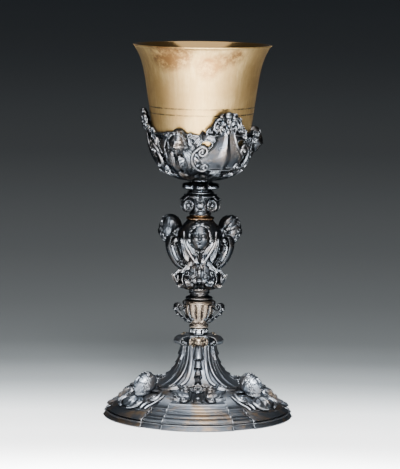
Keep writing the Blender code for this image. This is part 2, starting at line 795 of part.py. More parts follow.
def vase_ear():
    """A scroll handle on the side of the vase, its top curled outwards."""
    low = VASE_RUN.radius_at_height(VASE_SEAT + 0.30 * VASE_HEIGHT) + FIT_GAP + EAR_BAND / 2.0
    reach = VASE_RADIUS + EAR_REACH
    line = [(low, VASE_SEAT + 0.26 * VASE_HEIGHT), (low + 0.25 * EAR_REACH, VASE_SEAT + 0.32 * VASE_HEIGHT),
            (reach - 0.45 * EAR_REACH, VASE_SEAT + 0.48 * VASE_HEIGHT),
            (reach - 0.12 * EAR_REACH, VASE_SEAT + 0.64 * VASE_HEIGHT)]
    line += arc((reach - EAR_CURL, VASE_SEAT + 0.80 * VASE_HEIGHT), EAR_CURL, 0.0, 250.0, 6)
    arm = flat_band(strap(line, EAR_BAND), EAR_WIDTH / 2.0)
    web_line = [(VASE_NECK_RADIUS, VASE_SEAT + 0.34 * VASE_HEIGHT), (low, VASE_SEAT + 0.29 * VASE_HEIGHT),
                (reach - 0.5 * EAR_REACH, VASE_SEAT + 0.50 * VASE_HEIGHT),
                (reach - 0.45 * EAR_REACH, VASE_SEAT + 0.80 * VASE_HEIGHT),
                (VASE_NECK_RADIUS, VASE_SEAT + 0.80 * VASE_HEIGHT)]
    web = flat_band(web_line, EAR_WIDTH / 3.0)
    return cut(joined(arm, web), VASE_RUN.core(FIT_GAP))


def lower_ring():
    shape = ((LOWER_RING_RADIUS * 0.92, 0.0), (LOWER_RING_RADIUS, 0.12), (LOWER_RING_RADIUS, 0.30),
             (LOWER_RING_NECK, 0.50), (LOWER_RING_NECK, 0.80), (LOWER_RING_NECK * 1.12, 1.0))
    return turned(profile(LOWER_RING_SEAT, LOWER_RING_HEIGHT, shape, ROD_BORE), SMALL_TURN_STEPS)


KNOP_SHAPE = ((KNOP_FOOT_RADIUS, 0.0), (KNOP_FOOT_RADIUS, 0.04), (KNOP_BULB_RADIUS * 0.86, 0.09),
              (KNOP_BULB_RADIUS, 0.17), (KNOP_BULB_RADIUS * 0.95, 0.25), (KNOP_WAIST_RADIUS, 0.37),
              (KNOP_WAIST_RADIUS * 1.05, 0.48), (KNOP_SHOULDER_RADIUS, 0.68), (KNOP_SHOULDER_RADIUS, 0.82),
              (KNOP_NECK_RADIUS * 1.2, 0.95), (KNOP_NECK_RADIUS, 1.0))
KNOP_RUN = Run([(radius, KNOP_SEAT + KNOP_HEIGHT * up) for radius, up in KNOP_SHAPE])


def knop_body():
    """The main knop's core, leafed at its foot, which carries the cherubs and brackets."""
    mesh = turned(profile(KNOP_SEAT, KNOP_HEIGHT, KNOP_SHAPE, ROD_BORE), TURN_STEPS)
    return fluted(mesh, KNOP_LEAVES, KNOP_LEAF_DEPTH,
                  KNOP_SEAT + 0.06 * KNOP_HEIGHT, KNOP_SEAT + 0.2 * KNOP_HEIGHT)


def knop_cherub():
    """A cherub head at the knop's shoulder, with its wings folded down to a point below."""
    rise = KNOP_SEAT + KNOP_HEIGHT - KNOP_HEAD_DROP
    radius = KNOP_SHOULDER_RADIUS + KNOP_HEAD_REACH
    head, hair = cherub_head(KNOP_HEAD_WIDTH, round_axis(radius, 0.0, rise), KNOP_HEAD_TILT)
    neck_depth = 1.6 * KNOP_HEAD_REACH + KNOP_HEAD_WIDTH * 0.6
    neck = ball((KNOP_HEAD_WIDTH * 0.8, neck_depth, KNOP_HEAD_WIDTH * 0.8),
                round_axis(radius - KNOP_HEAD_REACH / 2.0, 0.0, rise - 0.1 * KNOP_HEAD_WIDTH), 6, 4)
    top = KNOP_RUN.distance_at_height(rise - 0.3 * KNOP_HEAD_WIDTH)

    def place(u, v):
        side = 2.0 * u - 1.0
        across = side * KNOP_WING_SPAN / 2.0 * (0.18 + 0.82 * v)
        out = FIT_GAP + WING_SHEET + 1.2 * WING_SHEET * (1.0 - side * side) * v
        return KNOP_RUN.place(across, top - KNOP_WING_LENGTH * (1.0 - v), out)

    wings = surface(4, 3, place, WING_SHEET)
    return joined(cut(joined(head, hair, neck), KNOP_RUN.core(FIT_GAP)), wings)


def knop_bracket():
    """A C-scroll that springs from the knop's waist to a curl beside its shoulder."""
    foot_height = KNOP_SEAT + 0.40 * KNOP_HEIGHT
    foot_radius = KNOP_RUN.radius_at_height(foot_height)
    curl_height = KNOP_SEAT + 0.74 * KNOP_HEIGHT
    reach = KNOP_SHOULDER_RADIUS + BRACKET_REACH
    curl = arc((reach - BRACKET_CURL, curl_height), BRACKET_CURL, -20.0, 265.0, 8)
    rise = curl[0][1] - foot_height
    span = reach - foot_radius
    line = [(foot_radius - BRACKET_BAND, foot_height - 0.12 * rise), (foot_radius + 0.12 * rise, foot_height),
            (foot_radius + 0.5 * span, foot_height + 0.22 * rise),
            (foot_radius + 0.85 * span, foot_height + 0.62 * rise)]
    band = flat_band(strap(line + curl, BRACKET_BAND), BRACKET_WIDTH / 2.0)
    web_line = [(foot_radius - BRACKET_BAND, foot_height), (foot_radius + 0.12 * rise, foot_height),
                (foot_radius + 0.5 * span, foot_height + 0.22 * rise),
                (reach - BRACKET_CURL, curl_height), (foot_radius - BRACKET_BAND, curl_height)]
    web = flat_band(web_line, BRACKET_WIDTH / 4.0)
    return cut(joined(band, web), KNOP_RUN.core(FIT_GAP))


def neck_ring():
    shape = ((NECK_RING_RADIUS * 0.9, 0.0), (NECK_RING_RADIUS, 0.2), (NECK_RING_RADIUS, 0.5),
             (NECK_RING_RADIUS * 0.75, 0.8), (NECK_RING_RADIUS * 0.75, 1.0))
    return turned(profile(NECK_RING_SEAT, NECK_RING_HEIGHT, shape, COUPLING_BORE), SMALL_TURN_STEPS)


SPOOL_SHAPE = ((SPOOL_WAIST_RADIUS * 1.15, 0.0), (SPOOL_WAIST_RADIUS, 0.12), (SPOOL_WAIST_RADIUS, 0.62),
               (SPOOL_TOP_RADIUS * 0.9, 0.80), (SPOOL_TOP_RADIUS, 0.86), (SPOOL_TOP_RADIUS, 0.94),
               (SPOOL_TOP_RADIUS * 0.85, 1.0))
SPOOL_RUN = Run([(radius, SPOOL_SEAT + SPOOL_HEIGHT * up) for radius, up in SPOOL_SHAPE])


def spool_knop():
    return turned(profile(SPOOL_SEAT, SPOOL_HEIGHT, SPOOL_SHAPE, COUPLING_BORE), SMALL_TURN_STEPS)


def spool_scroll():
    """A round volute set edgeways against the spool, with a raised eye."""
    centre = (SPOOL_WAIST_RADIUS + FIT_GAP + SCROLL_CURL * 0.9, SPOOL_SEAT + SCROLL_RISE)
    disc = flat_band(arc(centre, SCROLL_CURL, 0.0, 330.0, 11), SCROLL_WIDTH / 2.0 - SCROLL_BAND / 2.0)
    line = arc(centre, SCROLL_CURL - SCROLL_BAND / 2.0, -70.0, 215.0, 8)
    rim = flat_band(strap(line, SCROLL_BAND), SCROLL_WIDTH / 2.0)
    eye = flat_band(arc(centre, SCROLL_CURL * 0.3, 0.0, 300.0, 5), SCROLL_WIDTH / 2.0 + SCROLL_BAND / 4.0)
    return cut(joined(disc, rim, eye), SPOOL_RUN.core(FIT_GAP))


def upper_collar():
    """The lobed disc under the calyx, on its own short neck."""
    shape = ((COLLAR_NECK_RADIUS * 1.1, 0.0), (COLLAR_NECK_RADIUS, 0.14), (COLLAR_NECK_RADIUS, 0.28),
             (COLLAR_RADIUS, 0.40), (COLLAR_RADIUS, 0.54), (COLLAR_NECK_RADIUS, 0.68),
             (COLLAR_NECK_RADIUS * 0.92, 0.84), (COLLAR_NECK_RADIUS, 1.0))
    mesh = turned(profile(COLLAR_SEAT, COLLAR_HEIGHT, shape, COUPLING_BORE), 4 * COLLAR_LOBES)
    return fluted(mesh, COLLAR_LOBES, COLLAR_LOBE_DEPTH,
                  COLLAR_SEAT + 0.36 * COLLAR_HEIGHT, COLLAR_SEAT + 0.58 * COLLAR_HEIGHT)


def make_stem():
    piece("bead_ring", bead_ring(), WORN_SILVER)
    piece("vase_knop", vase_knop(), WORN_SILVER)
    repeated("vase_ear", vase_ear(), DARK_SILVER, RIB_AZIMUTH)
    piece("lower_ring", lower_ring(), DARK_SILVER)
    piece("knop_body", knop_body(), DARK_SILVER)
    repeated("knop_cherub", knop_cherub(), DARK_SILVER, BAY_AZIMUTH)
    repeated("knop_bracket", knop_bracket(), DARK_SILVER, RIB_AZIMUTH)
    piece("neck_ring", neck_ring(), WORN_SILVER)
    piece("spool_knop", spool_knop(), DARK_SILVER)
    repeated("spool_scroll", spool_scroll(), DARK_SILVER, RIB_AZIMUTH)
    piece("upper_collar", upper_collar(), DARK_SILVER)


# Cup

BOWL_SQUARENESS = 2.1
BOWL_POINTS = 6


def bowl_curve(base_radius, base_height, waist_radius, waist_height, count):
    """Points up the rounded lower bowl, from its base to its waist."""
    points = []
    for index in range(count + 1):
        angle = math.pi / 2.0 * index / count
        out = math.sin(angle) ** (2.0 / BOWL_SQUARENESS)
        up = 1.0 - max(math.cos(angle), 0.0) ** (2.0 / BOWL_SQUARENESS)
        points.append((base_radius + (waist_radius - base_radius) * out,
                       base_height + (waist_height - base_height) * up))
    return points


def cup_flare(count):
    """Points up the cup's side, from its waist to its rim."""
    waist = CUP_SEAT + CUP_WAIST_HEIGHT
    points = []
    for index in range(1, count + 1):
        share = index / count
        flare = 0.6 * share + 0.4 * share**7
        points.append((CUP_WAIST_RADIUS + (CUP_RIM_RADIUS - CUP_WAIST_RADIUS) * flare,
                       waist + (CUP_SEAT + CUP_HEIGHT - waist) * share))
    return points


WAIST = CUP_SEAT + CUP_WAIST_HEIGHT
CUP_RUN = Run(bowl_curve(CUP_BASE_RADIUS, CUP_SEAT, CUP_WAIST_RADIUS, WAIST, BOWL_POINTS) + cup_flare(6))


def cup():
    """The gilt cup, a deep bell with a flared lip."""
    inner = CUP_RUN.pushed(-CUP_WALL).points
    floor = CUP_SEAT + CUP_FLOOR
    outline = [(0.0, floor)] + [(point.x, max(point.y, floor)) for point in inner[2:-1]]
    outline.append((inner[-1].x, CUP_RUN.points[-1].y))
    outline += [tuple(point) for point in CUP_RUN.points[::-1]] + [(0.0, CUP_SEAT)]
    return turned_core(outline, TURN_STEPS)


def cup_stud():
    """The screw under the cup, with the flange that it is soldered on by."""
    top = CUP_SEAT - FIT_GAP
    flange = top - STUD_FLANGE_HEIGHT
    outline = [(0.0, top), (STUD_FLANGE_RADIUS, top), (STUD_FLANGE_RADIUS, flange), (STUD_RADIUS, flange),
               (STUD_RADIUS, STUD_TIP), (0.0, STUD_TIP)]
    return turned_core(outline, ROD_STEPS)


def make_cup():
    piece("cup", cup(), GILT)
    piece("cup_stud", cup_stud(), STEEL)
    washer = sleeve(WASHER_RADIUS, STUD_FLANGE_RADIUS + FIT_GAP, WASHER_SEAT, WASHER_SEAT + WASHER_HEIGHT)
    piece("cup_washer", washer, STEEL)


# Calyx

CALYX_INNER = Run(bowl_curve(CALYX_BASE_RADIUS, CALYX_SEAT + CALYX_SHEET, CUP_WAIST_RADIUS + CALYX_CLEARANCE,
                             WAIST, BOWL_POINTS)
                  + [tuple(point) for point in CUP_RUN.pushed(CALYX_CLEARANCE).points[BOWL_POINTS + 1:]])
CALYX_RUN = CALYX_INNER.pushed(CALYX_SHEET)


def calyx_edge(azimuth):
    """Height of the calyx's edge: peaks at the cartouches, half peaks at the cherubs, dips between."""
    turn = (azimuth - CARTOUCHE_AZIMUTH) * REPEATS
    peak = CALYX_PEAK * max(math.cos(turn), 0.0) + CALYX_CHERUB_PEAK * max(-math.cos(turn), 0.0)
    return CALYX_SEAT + CALYX_DIP_HEIGHT + peak


def calyx_bowl():
    """The openwork silver bowl that the cup stands in."""
    rows = 8

    def place(u, v):
        azimuth = math.tau * u
        row = round(v * rows)
        if row == 0:
            return round_axis(COUPLING_BORE, azimuth, CALYX_SEAT)
        reach = CALYX_RUN.distance_at_height(calyx_edge(azimuth))
        on = CALYX_RUN.at(reach * ((row - 1) / (rows - 1)) ** 0.8)[0]
        return round_axis(on.x, azimuth, on.y)

    bowl = surface(TURN_STEPS, rows, place, CALYX_SHEET)
    height = CALYX_SEAT + CALYX_DIP_HEIGHT - WINDOW_DROP
    centre = round_axis(CALYX_RUN.radius_at_height(height), 0.0, height)
    windows = []
    for number in range(REPEATS):
        for hand in (-1.0, 1.0):
            azimuth = CARTOUCHE_AZIMUTH + number * math.tau / REPEATS + hand * WINDOW_AZIMUTH
            shape = ball((WINDOW_LENGTH, 8.0 * CALYX_SHEET, WINDOW_HEIGHT), centre, 6, 4)
            windows.append(about_axis(shape, azimuth))
    return cut(bowl, *windows)


def leaf_cup():
    """The ring of acanthus tips that spreads under the calyx."""

    def place(u, v):
        azimuth = math.tau * u
        scallop = 0.5 - 0.5 * math.cos(LEAF_COUNT * azimuth)
        reach = (LEAF_LENGTH - LEAF_NOTCH * scallop) * v
        out = FIT_GAP + LEAF_SHEET + LEAF_CURL * v * v * (1.0 - scallop)
        return CALYX_RUN.around(azimuth, reach, out)

    return surface(2 * LEAF_COUNT, 3, place, LEAF_SHEET)


def calyx_cherub():
    """A cherub head with short wings, between two cartouches."""
    rise = CALYX_SEAT + CALYX_DIP_HEIGHT - CALYX_HEAD_DROP
    radius = CALYX_RUN.radius_at_height(rise) - CALYX_HEAD_SINK
    head, hair = cherub_head(CALYX_HEAD_WIDTH, round_axis(radius, 0.0, rise), CALYX_HEAD_TILT)
    wings = wing_pair(CALYX_RUN, CALYX_RUN.distance_at_height(rise), CALYX_WING_SPAN, CALYX_WING_LENGTH)
    return joined(cut(joined(head, hair), CALYX_RUN.core(FIT_GAP)), wings)


def shield_width(share):
    """The bell outline of the shield, from its foot at 0 to its neck at 1."""
    body = SHIELD_WIDTH * (0.55 + 0.45 * math.sin(math.pi * min(0.2 + share, 0.5)))
    neck = min(max((share - 0.25) / 0.6, 0.0), 1.0)
    return body + (SHIELD_NECK_WIDTH - body) * neck * neck * (3.0 - 2.0 * neck)


def calyx_cartouche():
    """A plain ridged shield between two raised rims."""
    low = LEAF_LENGTH + SHIELD_LEAF_GAP
    high = CALYX_RUN.distance_at_height(CALYX_SEAT + CALYX_DIP_HEIGHT)

    def place(u, v):
        side = 2.0 * u - 1.0
        out = FIT_GAP + SHIELD_SHEET + SHIELD_RIDGE * (1.0 - abs(side))
        return CALYX_RUN.place(side * shield_width(v) / 2.0, low + (high - low) * v, out)

    shield = surface(6, 5, place, SHIELD_SHEET)
    frames = []
    for hand in (-1.0, 1.0):
        points = []
        for step in range(7):
            share = 1.0 - 0.92 * step / 6
            across = hand * shield_width(share) / 2.0
            points.append(CALYX_RUN.place(across, low + (high - low) * share, FIT_GAP + 1.4 * SHIELD_TUBE))
        frames.append(tube(points, SHIELD_TUBE))
    return joined(shield, *frames)


def calyx_crest():
    """The ruffled shell that crowns a cartouche and leans away from the cup."""
    low = CALYX_RUN.distance_at_height(CALYX_SEAT + CALYX_DIP_HEIGHT) + FIT_GAP + SHIELD_TUBE
    columns = 2 * CREST_RIBS

    def place(u, v):
        side = 2.0 * u - 1.0
        ruffle = 0.5 + 0.5 * math.cos(columns * math.pi * u)
        length = CREST_LENGTH * (1.0 - 0.75 * abs(side) ** 1.6) + 0.05 * CREST_LENGTH * ruffle
        across = side * CREST_WIDTH / 2.0 * (0.82 + 0.18 * v)
        out = FIT_GAP + CREST_SHEET + CREST_SWELL * ruffle * v + CREST_LEAN * v * v
        return CALYX_RUN.place(across, low + length * v - 0.25 * CREST_LENGTH * abs(side) ** 2, out)

    return surface(columns, 3, place, CREST_SHEET)


def make_calyx():
    piece("calyx_bowl", calyx_bowl(), DARK_SILVER)
    piece("leaf_cup", leaf_cup(), WORN_SILVER)
    repeated("calyx_cherub", calyx_cherub(), DARK_SILVER, CALYX_CHERUB_AZIMUTH)
    repeated("calyx_cartouche", calyx_cartouche(), DARK_SILVER, CARTOUCHE_AZIMUTH)
    repeated("calyx_crest", calyx_crest(), DARK_SILVER, CARTOUCHE_AZIMUTH)


# Fastenings inside the stem

def coupling():
    """The sleeve in the upper stem that the rod and the cup's stud screw into from either end."""
    socket = STUD_TIP - SOCKET_CLEARANCE
    rod_end = COUPLING_FOOT + ROD_ENGAGEMENT
    outline = [(0.0, socket), (STUD_BORE, socket), (STUD_BORE, COUPLING_TOP),
               (COUPLING_RADIUS, COUPLING_TOP), (COUPLING_RADIUS, COUPLING_FOOT),
               (ROD_BORE, COUPLING_FOOT), (ROD_BORE, rod_end), (0.0, rod_end)]
    return turned_core(outline, ROD_STEPS)


def tie_rod():
    top = COUPLING_FOOT + ROD_ENGAGEMENT - FIT_GAP
    foot = FOOT_HEIGHT - STEM_CEILING - FOOT_WASHER_HEIGHT - NUT_HEIGHT - ROD_TAIL
    return turned_core([(0.0, top), (ROD_RADIUS, top), (ROD_RADIUS, foot), (0.0, foot)], ROD_STEPS)


def hexagon_nut(low, high):
    body = turned_core([(0.0, high), (NUT_RADIUS, high), (NUT_RADIUS, low), (0.0, low)], 6)
    over, under = high + NUT_HEIGHT, low - NUT_HEIGHT
    bore = turned_core([(0.0, over), (ROD_BORE, over), (ROD_BORE, under), (0.0, under)], ROD_STEPS)
    return cut(body, bore)


def make_fastenings():
    washer_top = FOOT_HEIGHT - STEM_CEILING - FIT_GAP
    nut_top = washer_top - FOOT_WASHER_HEIGHT - FIT_GAP
    piece("coupling", coupling(), STEEL)
    piece("tie_rod", tie_rod(), STEEL)
    washer = sleeve(FOOT_WASHER_RADIUS, ROD_BORE, washer_top - FOOT_WASHER_HEIGHT, washer_top)
    piece("foot_washer", washer, STEEL)
    piece("foot_nut", hexagon_nut(nut_top - NUT_HEIGHT, nut_top), STEEL)


def main():
    for obj in list(bpy.data.objects):
        bpy.data.objects.remove(obj)
    make_foot()
    make_stem()
    make_calyx()
    make_cup()
    make_fastenings()


if __name__ == "__main__":
    main()
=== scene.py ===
import math

import bmesh
import bpy
from bpy.props import FloatProperty, FloatVectorProperty, PointerProperty
from mathutils import Matrix, Vector


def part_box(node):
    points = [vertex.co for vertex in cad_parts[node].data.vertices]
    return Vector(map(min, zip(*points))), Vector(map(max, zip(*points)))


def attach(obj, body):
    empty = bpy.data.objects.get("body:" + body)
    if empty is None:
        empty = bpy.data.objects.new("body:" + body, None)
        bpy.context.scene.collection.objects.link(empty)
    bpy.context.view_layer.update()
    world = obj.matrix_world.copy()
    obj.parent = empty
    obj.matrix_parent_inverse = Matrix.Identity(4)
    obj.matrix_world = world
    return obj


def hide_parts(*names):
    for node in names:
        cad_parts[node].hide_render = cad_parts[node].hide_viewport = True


bl_info = {
    "name": "Baroque Chalice",
    "version": (1, 0, 0),
    "blender": (4, 5, 0),
    "location": "3D View > Sidebar > Chalice",
    "description": "Gives a chalice its cast, chased and gilt surfaces and a plain studio to stand in",
    "category": "Add Mesh",
}

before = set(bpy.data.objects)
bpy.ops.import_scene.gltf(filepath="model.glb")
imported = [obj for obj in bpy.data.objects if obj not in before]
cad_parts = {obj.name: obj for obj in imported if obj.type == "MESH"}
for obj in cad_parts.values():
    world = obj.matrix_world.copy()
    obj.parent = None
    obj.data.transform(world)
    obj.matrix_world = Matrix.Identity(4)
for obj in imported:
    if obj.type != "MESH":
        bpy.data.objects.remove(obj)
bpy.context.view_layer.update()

# The chalice repeats three times round its axis, and its front is the -Y side
REPEATS = 3
THIRD = math.tau / REPEATS
RIB_AZIMUTH = THIRD / 2.0
CARTOUCHE_AZIMUTH = math.radians(28.0)
CALYX_CHERUB_AZIMUTH = math.radians(-26.0)
WELD = 0.000001
SMOOTH_ANGLE = math.radians(42.0)
SIDES = (-1.0, 1.0)


def seat(node):
    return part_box(node)[0].z


def top(node):
    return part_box(node)[1].z


# Runs: surfaces of revolution that ornament is laid on

def round_axis(radius, azimuth, height):
    return Vector((radius * math.sin(azimuth), -radius * math.cos(azimuth), height))


def smoothed(points, times=2):
    """Rounds the corners of an open line and keeps its ends."""
    for _ in range(times):
        cut = [points[0]]
        for start, end in zip(points, points[1:]):
            cut.append(tuple(0.75 * a + 0.25 * b for a, b in zip(start, end)))
            cut.append(tuple(0.25 * a + 0.75 * b for a, b in zip(start, end)))
        cut.append(points[-1])
        points = cut
    return points


class Run:
    """A surface of revolution as (radius, height) points from low to high, read along its length."""

    def __init__(self, points):
        self.points = [Vector(point) for point in points]
        self.reach = [0.0]
        for before, after in zip(self.points, self.points[1:]):
            self.reach.append(self.reach[-1] + (after - before).length)

    def at(self, distance):
        """The point at a distance along the run, and the direction out of the surface there."""
        index = 1
        while index < len(self.reach) - 1 and self.reach[index] < distance:
            index += 1
        before, after = self.points[index - 1], self.points[index]
        along = (after - before).normalized()
        return before + along * (distance - self.reach[index - 1]), Vector((along.y, -along.x))

    def up_to(self, height):
        """The distance along the run at which it reaches a height."""
        for index, (before, after) in enumerate(zip(self.points, self.points[1:])):
            if before.y <= height <= after.y and after.y > before.y:
                share = (height - before.y) / (after.y - before.y)
                return self.reach[index] + share * (self.reach[index + 1] - self.reach[index])
        return self.reach[-1]

    def in_to(self, radius):
        """The first distance at which a narrowing run has come in to a radius."""
        for index, (before, after) in enumerate(zip(self.points, self.points[1:])):
            if after.x <= radius <= before.x and before.x > after.x:
                share = (before.x - radius) / (before.x - after.x)
                return self.reach[index] + share * (self.reach[index + 1] - self.reach[index])
        return 0.0

    def place(self, across, distance, out):
        """A point of a relief laid on the surface at the front."""
        on, normal = self.at(distance)
        where = on + normal * out
        return round_axis(where.x, across / on.x, where.y)

    def out_of(self, across, distance):
        on, normal = self.at(distance)
        return round_axis(normal.x, across / on.x, normal.y)

    def pushed(self, distance):
        """The same run moved out of its surface."""
        points = []
        last = len(self.points) - 1
        for index, point in enumerate(self.points):
            along = (self.points[min(index + 1, last)] - self.points[max(index - 1, 0)]).normalized()
            points.append(point + Vector((along.y, -along.x)) * distance)
        return Run(points)


# Tools that shape a bmesh

def spun(outline, steps, closed=True):
    """A turned form from (radius, height) points listed down its outer side."""
    form = bmesh.new()
    verts = [form.verts.new((0.0, -radius, height)) for radius, height in outline]
    edges = [form.edges.new(pair) for pair in zip(verts, verts[1:])]
    if closed:
        edges.append(form.edges.new((verts[-1], verts[0])))
    bmesh.ops.spin(form, geom=verts + edges, cent=(0, 0, 0), axis=(0, 0, 1), angle=math.tau,
                   steps=steps, use_merge=True)
    bmesh.ops.remove_doubles(form, verts=form.verts, dist=WELD)
    bmesh.ops.recalc_face_normals(form, faces=form.faces)
    return form


def relief(run, columns, rows, spot, sheet):
    """A sheet on a run. spot(u, v) gives its front's across, distance and height, u and v from 0 to 1."""
    form = bmesh.new()
    bmesh.ops.create_grid(form, x_segments=columns, y_segments=rows, size=0.5)
    back = list(form.verts)
    raised = bmesh.ops.extrude_face_region(form, geom=form.faces, use_keep_orig=True)["geom"]
    front = [item for item in raised if isinstance(item, bmesh.types.BMVert)]
    for verts, sink in ((front, 0.0), (back, sheet)):
        for vert in verts:
            across, distance, out = spot(vert.co.x + 0.5, vert.co.y + 0.5)
            vert.co = run.place(across, distance, out - sink)
    bmesh.ops.recalc_face_normals(form, faces=form.faces)
    return form


def rod(places, ups, widths, heights, sides=10, dish=0.0, ring=False):
    """A moulding along places, as wide and high as each list says. A dish hollows its outer face."""
    form = bmesh.new()
    verts = bmesh.ops.create_circle(form, segments=sides, radius=1.0)["verts"]
    edges = list(form.edges)
    for vert in verts:
        if vert.co.y > 0.3:
            vert.co.y -= dish * (1.0 - vert.co.x**2)
    last = len(places) - 1
    before = Matrix.Identity(4)
    for index, place in enumerate(places):
        ahead = places[(index + 1) % last] if ring else places[min(index + 1, last)]
        behind = places[(index - 1) % last] if ring else places[max(index - 1, 0)]
        along = (ahead - behind).normalized()
        side = ups[index].cross(along).normalized()
        up = along.cross(side)
        pose = Matrix((side * widths[index], up * heights[index], along)).transposed().to_4x4()
        pose.translation = place
        if index:
            made = bmesh.ops.extrude_edge_only(form, edges=edges)["geom"]
            verts = [item for item in made if isinstance(item, bmesh.types.BMVert)]
            fresh = set(verts)
            edges = [item for item in made
                     if isinstance(item, bmesh.types.BMEdge) and fresh.issuperset(item.verts)]
        bmesh.ops.transform(form, matrix=pose @ before.inverted(), verts=verts)
        before = pose
    if ring:
        bmesh.ops.remove_doubles(form, verts=form.verts, dist=WELD)
    else:
        bmesh.ops.holes_fill(form, edges=form.edges, sides=sides)
    bmesh.ops.recalc_face_normals(form, faces=form.faces)
    return form


def ball(size, centre, tilt=0.0, fineness=3):
    """An ellipsoid of that width, depth and height."""
    form = bmesh.new()
    bmesh.ops.create_icosphere(form, subdivisions=fineness, radius=0.5)
    pose = Matrix.Translation(centre) @ Matrix.Rotation(tilt, 4, "X") @ Matrix.Diagonal((*size, 1.0))
    bmesh.ops.transform(form, matrix=pose, verts=form.verts)
    return form


def gathered(forms):
    """Several forms as one, which is the first of them."""
    whole = forms[0]
    for form in forms[1:]:
        spare = bpy.data.meshes.new("spare")
        form.to_mesh(spare)
        form.free()
        whole.from_mesh(spare)
        bpy.data.meshes.remove(spare)
    return whole


def posed(form, matrix):
    bmesh.ops.transform(form, matrix=matrix, verts=form.verts)
    return form


def thirds(form):
    """Copies of a form at each third of a turn, in place of the form itself."""
    turned = [posed(form.copy(), Matrix.Rotation(number * THIRD, 4, "Z")) for number in range(REPEATS)]
    form.free()
    return turned


# Tools for ornament

COIL_STEPS = 14
COIL_SHRINK = 0.72


def traced(spot, hand, *points):
    """A line on one side of a piece, from (across, level) points that a spot function places."""
    return [spot(hand * across, level) for across, level in points]


def beside(hand, level, *points):
    """A line on one side of a piece, from (across, up) points over a level."""
    return [(hand * across, level + up) for across, up in points]


def above(level, *points):
    """A line from (radius, up) points over a level."""
    return [(radius, level + up) for radius, up in points]


def coil(eye, before, start, turns):
    """Points of a volute that winds in to its eye, going on from a line's last two points."""
    offset = Vector(start) - Vector(eye)
    along = Vector(start) - Vector(before)
    hand = 1.0 if offset.x * along.y - offset.y * along.x > 0.0 else -1.0
    first = math.atan2(offset.y, offset.x)
    count = int(COIL_STEPS * turns)
    points = []
    for step in range(1, count + 1):
        share = step / count
        angle = first + hand * math.tau * turns * share
        radius = offset.length * (1.0 - COIL_SHRINK * share)
        points.append((eye[0] + radius * math.cos(angle), eye[1] + radius * math.sin(angle)))
    return points


def scroll_line(body, first_eye=None, last_eye=None, turns=1.15):
    """A line through the body's points whose ends wind in to volutes."""
    line = smoothed(body)
    path = list(line)
    if last_eye:
        path += coil(last_eye, line[-2], line[-1], turns)
    if first_eye:
        path = coil(first_eye, line[1], line[0], turns)[::-1] + path
    return path


def swell(count, thick, thin):
    """Thicknesses along a scroll: thin at its ends and thick in its middle."""
    return [thin + (thick - thin) * max(math.sin(math.pi * index / (count - 1)), 0.0) ** 0.7
            for index in range(count)]


def laid_scroll(run, body, thick, eyes=(None, None), turns=1.15, lift=0.0, thin=0.55, high=1.0):
    """A round scroll that lies on a surface, with a bead in each eye."""
    path = scroll_line(body, eyes[0], eyes[1], turns)
    places = [run.place(across, distance, lift + 0.5 * thick) for across, distance in path]
    ups = [run.out_of(across, distance) for across, distance in path]
    widths = swell(len(path), thick, thick * thin)
    forms = [rod(places, ups, widths, [width * high for width in widths])]
    for eye in eyes:
        if eye:
            bead = 2.2 * thick
            forms.append(ball((bead, bead, bead), run.place(eye[0], eye[1], lift + 0.9 * thick), fineness=2))
    return gathered(forms)


def standing_scroll(body, thick, half_width, eyes=(None, None), turns=1.2, dish=0.45, flare=1.0):
    """A band of (radius, height) points that stands edgeways at the front, curling at its eyes."""
    path = scroll_line(body, eyes[0], eyes[1], turns)
    places = [Vector((0.0, -radius, height)) for radius, height in path]
    ups = []
    for index in range(len(places)):
        along = places[min(index + 1, len(places) - 1)] - places[max(index - 1, 0)]
        ups.append(along.cross(Vector((1.0, 0.0, 0.0))))
    count = len(path)
    widths = [half_width * (1.0 + (flare - 1.0) * index / (count - 1)) for index in range(count)]
    forms = [rod(places, ups, widths, swell(count, thick, 0.7 * thick), sides=14, dish=dish)]
    for eye in eyes:
        if eye:
            size = (2.3 * half_width, 3.0 * thick, 3.0 * thick)
            forms.append(ball(size, Vector((0.0, -eye[0], eye[1]))))
    return gathered(forms)


# Leaves and shells: how thick their sheet is, and where a shell's ribs begin as a share of its radius
LEAF_SHEET = 0.0009
SHELL_HUB = 0.12


def leaf(run, base, angle, length, width, bend=0.0, lobes=0, rise=0.0006, curl=0.0, lift=0.0, blunt=False):
    """A leaf or feather on a surface, from (across, distance), at an angle from straight up."""

    def spot(u, v):
        side = 2.0 * u - 1.0
        turn = angle + bend * v
        middle = angle + 0.5 * bend * v
        if blunt:
            half = math.sin(math.pi * (0.10 + 0.78 * v)) ** 0.6
        else:
            half = math.sin(math.pi * (0.08 + 0.92 * v) ** 0.8)
        half = max(half, 0.03) * width / 2.0
        if lobes:
            half *= 0.70 + 0.30 * abs(math.cos(lobes * math.pi * v))
        across = base[0] + length * v * math.sin(middle) + side * half * math.cos(turn)
        distance = base[1] + length * v * math.cos(middle) - side * half * math.sin(turn)
        out = lift + rise * (1.0 - abs(side)) ** 0.7 + 0.35 * rise * (1.0 - min(abs(side) * 5.0, 1.0))
        if lobes:
            out += 0.3 * rise * abs(side) * math.cos(2.0 * lobes * math.pi * (v + 0.12 * abs(side)))
        return across, distance, out + curl * v**3

    return relief(run, 8, 18 if lobes else 12, spot, LEAF_SHEET)


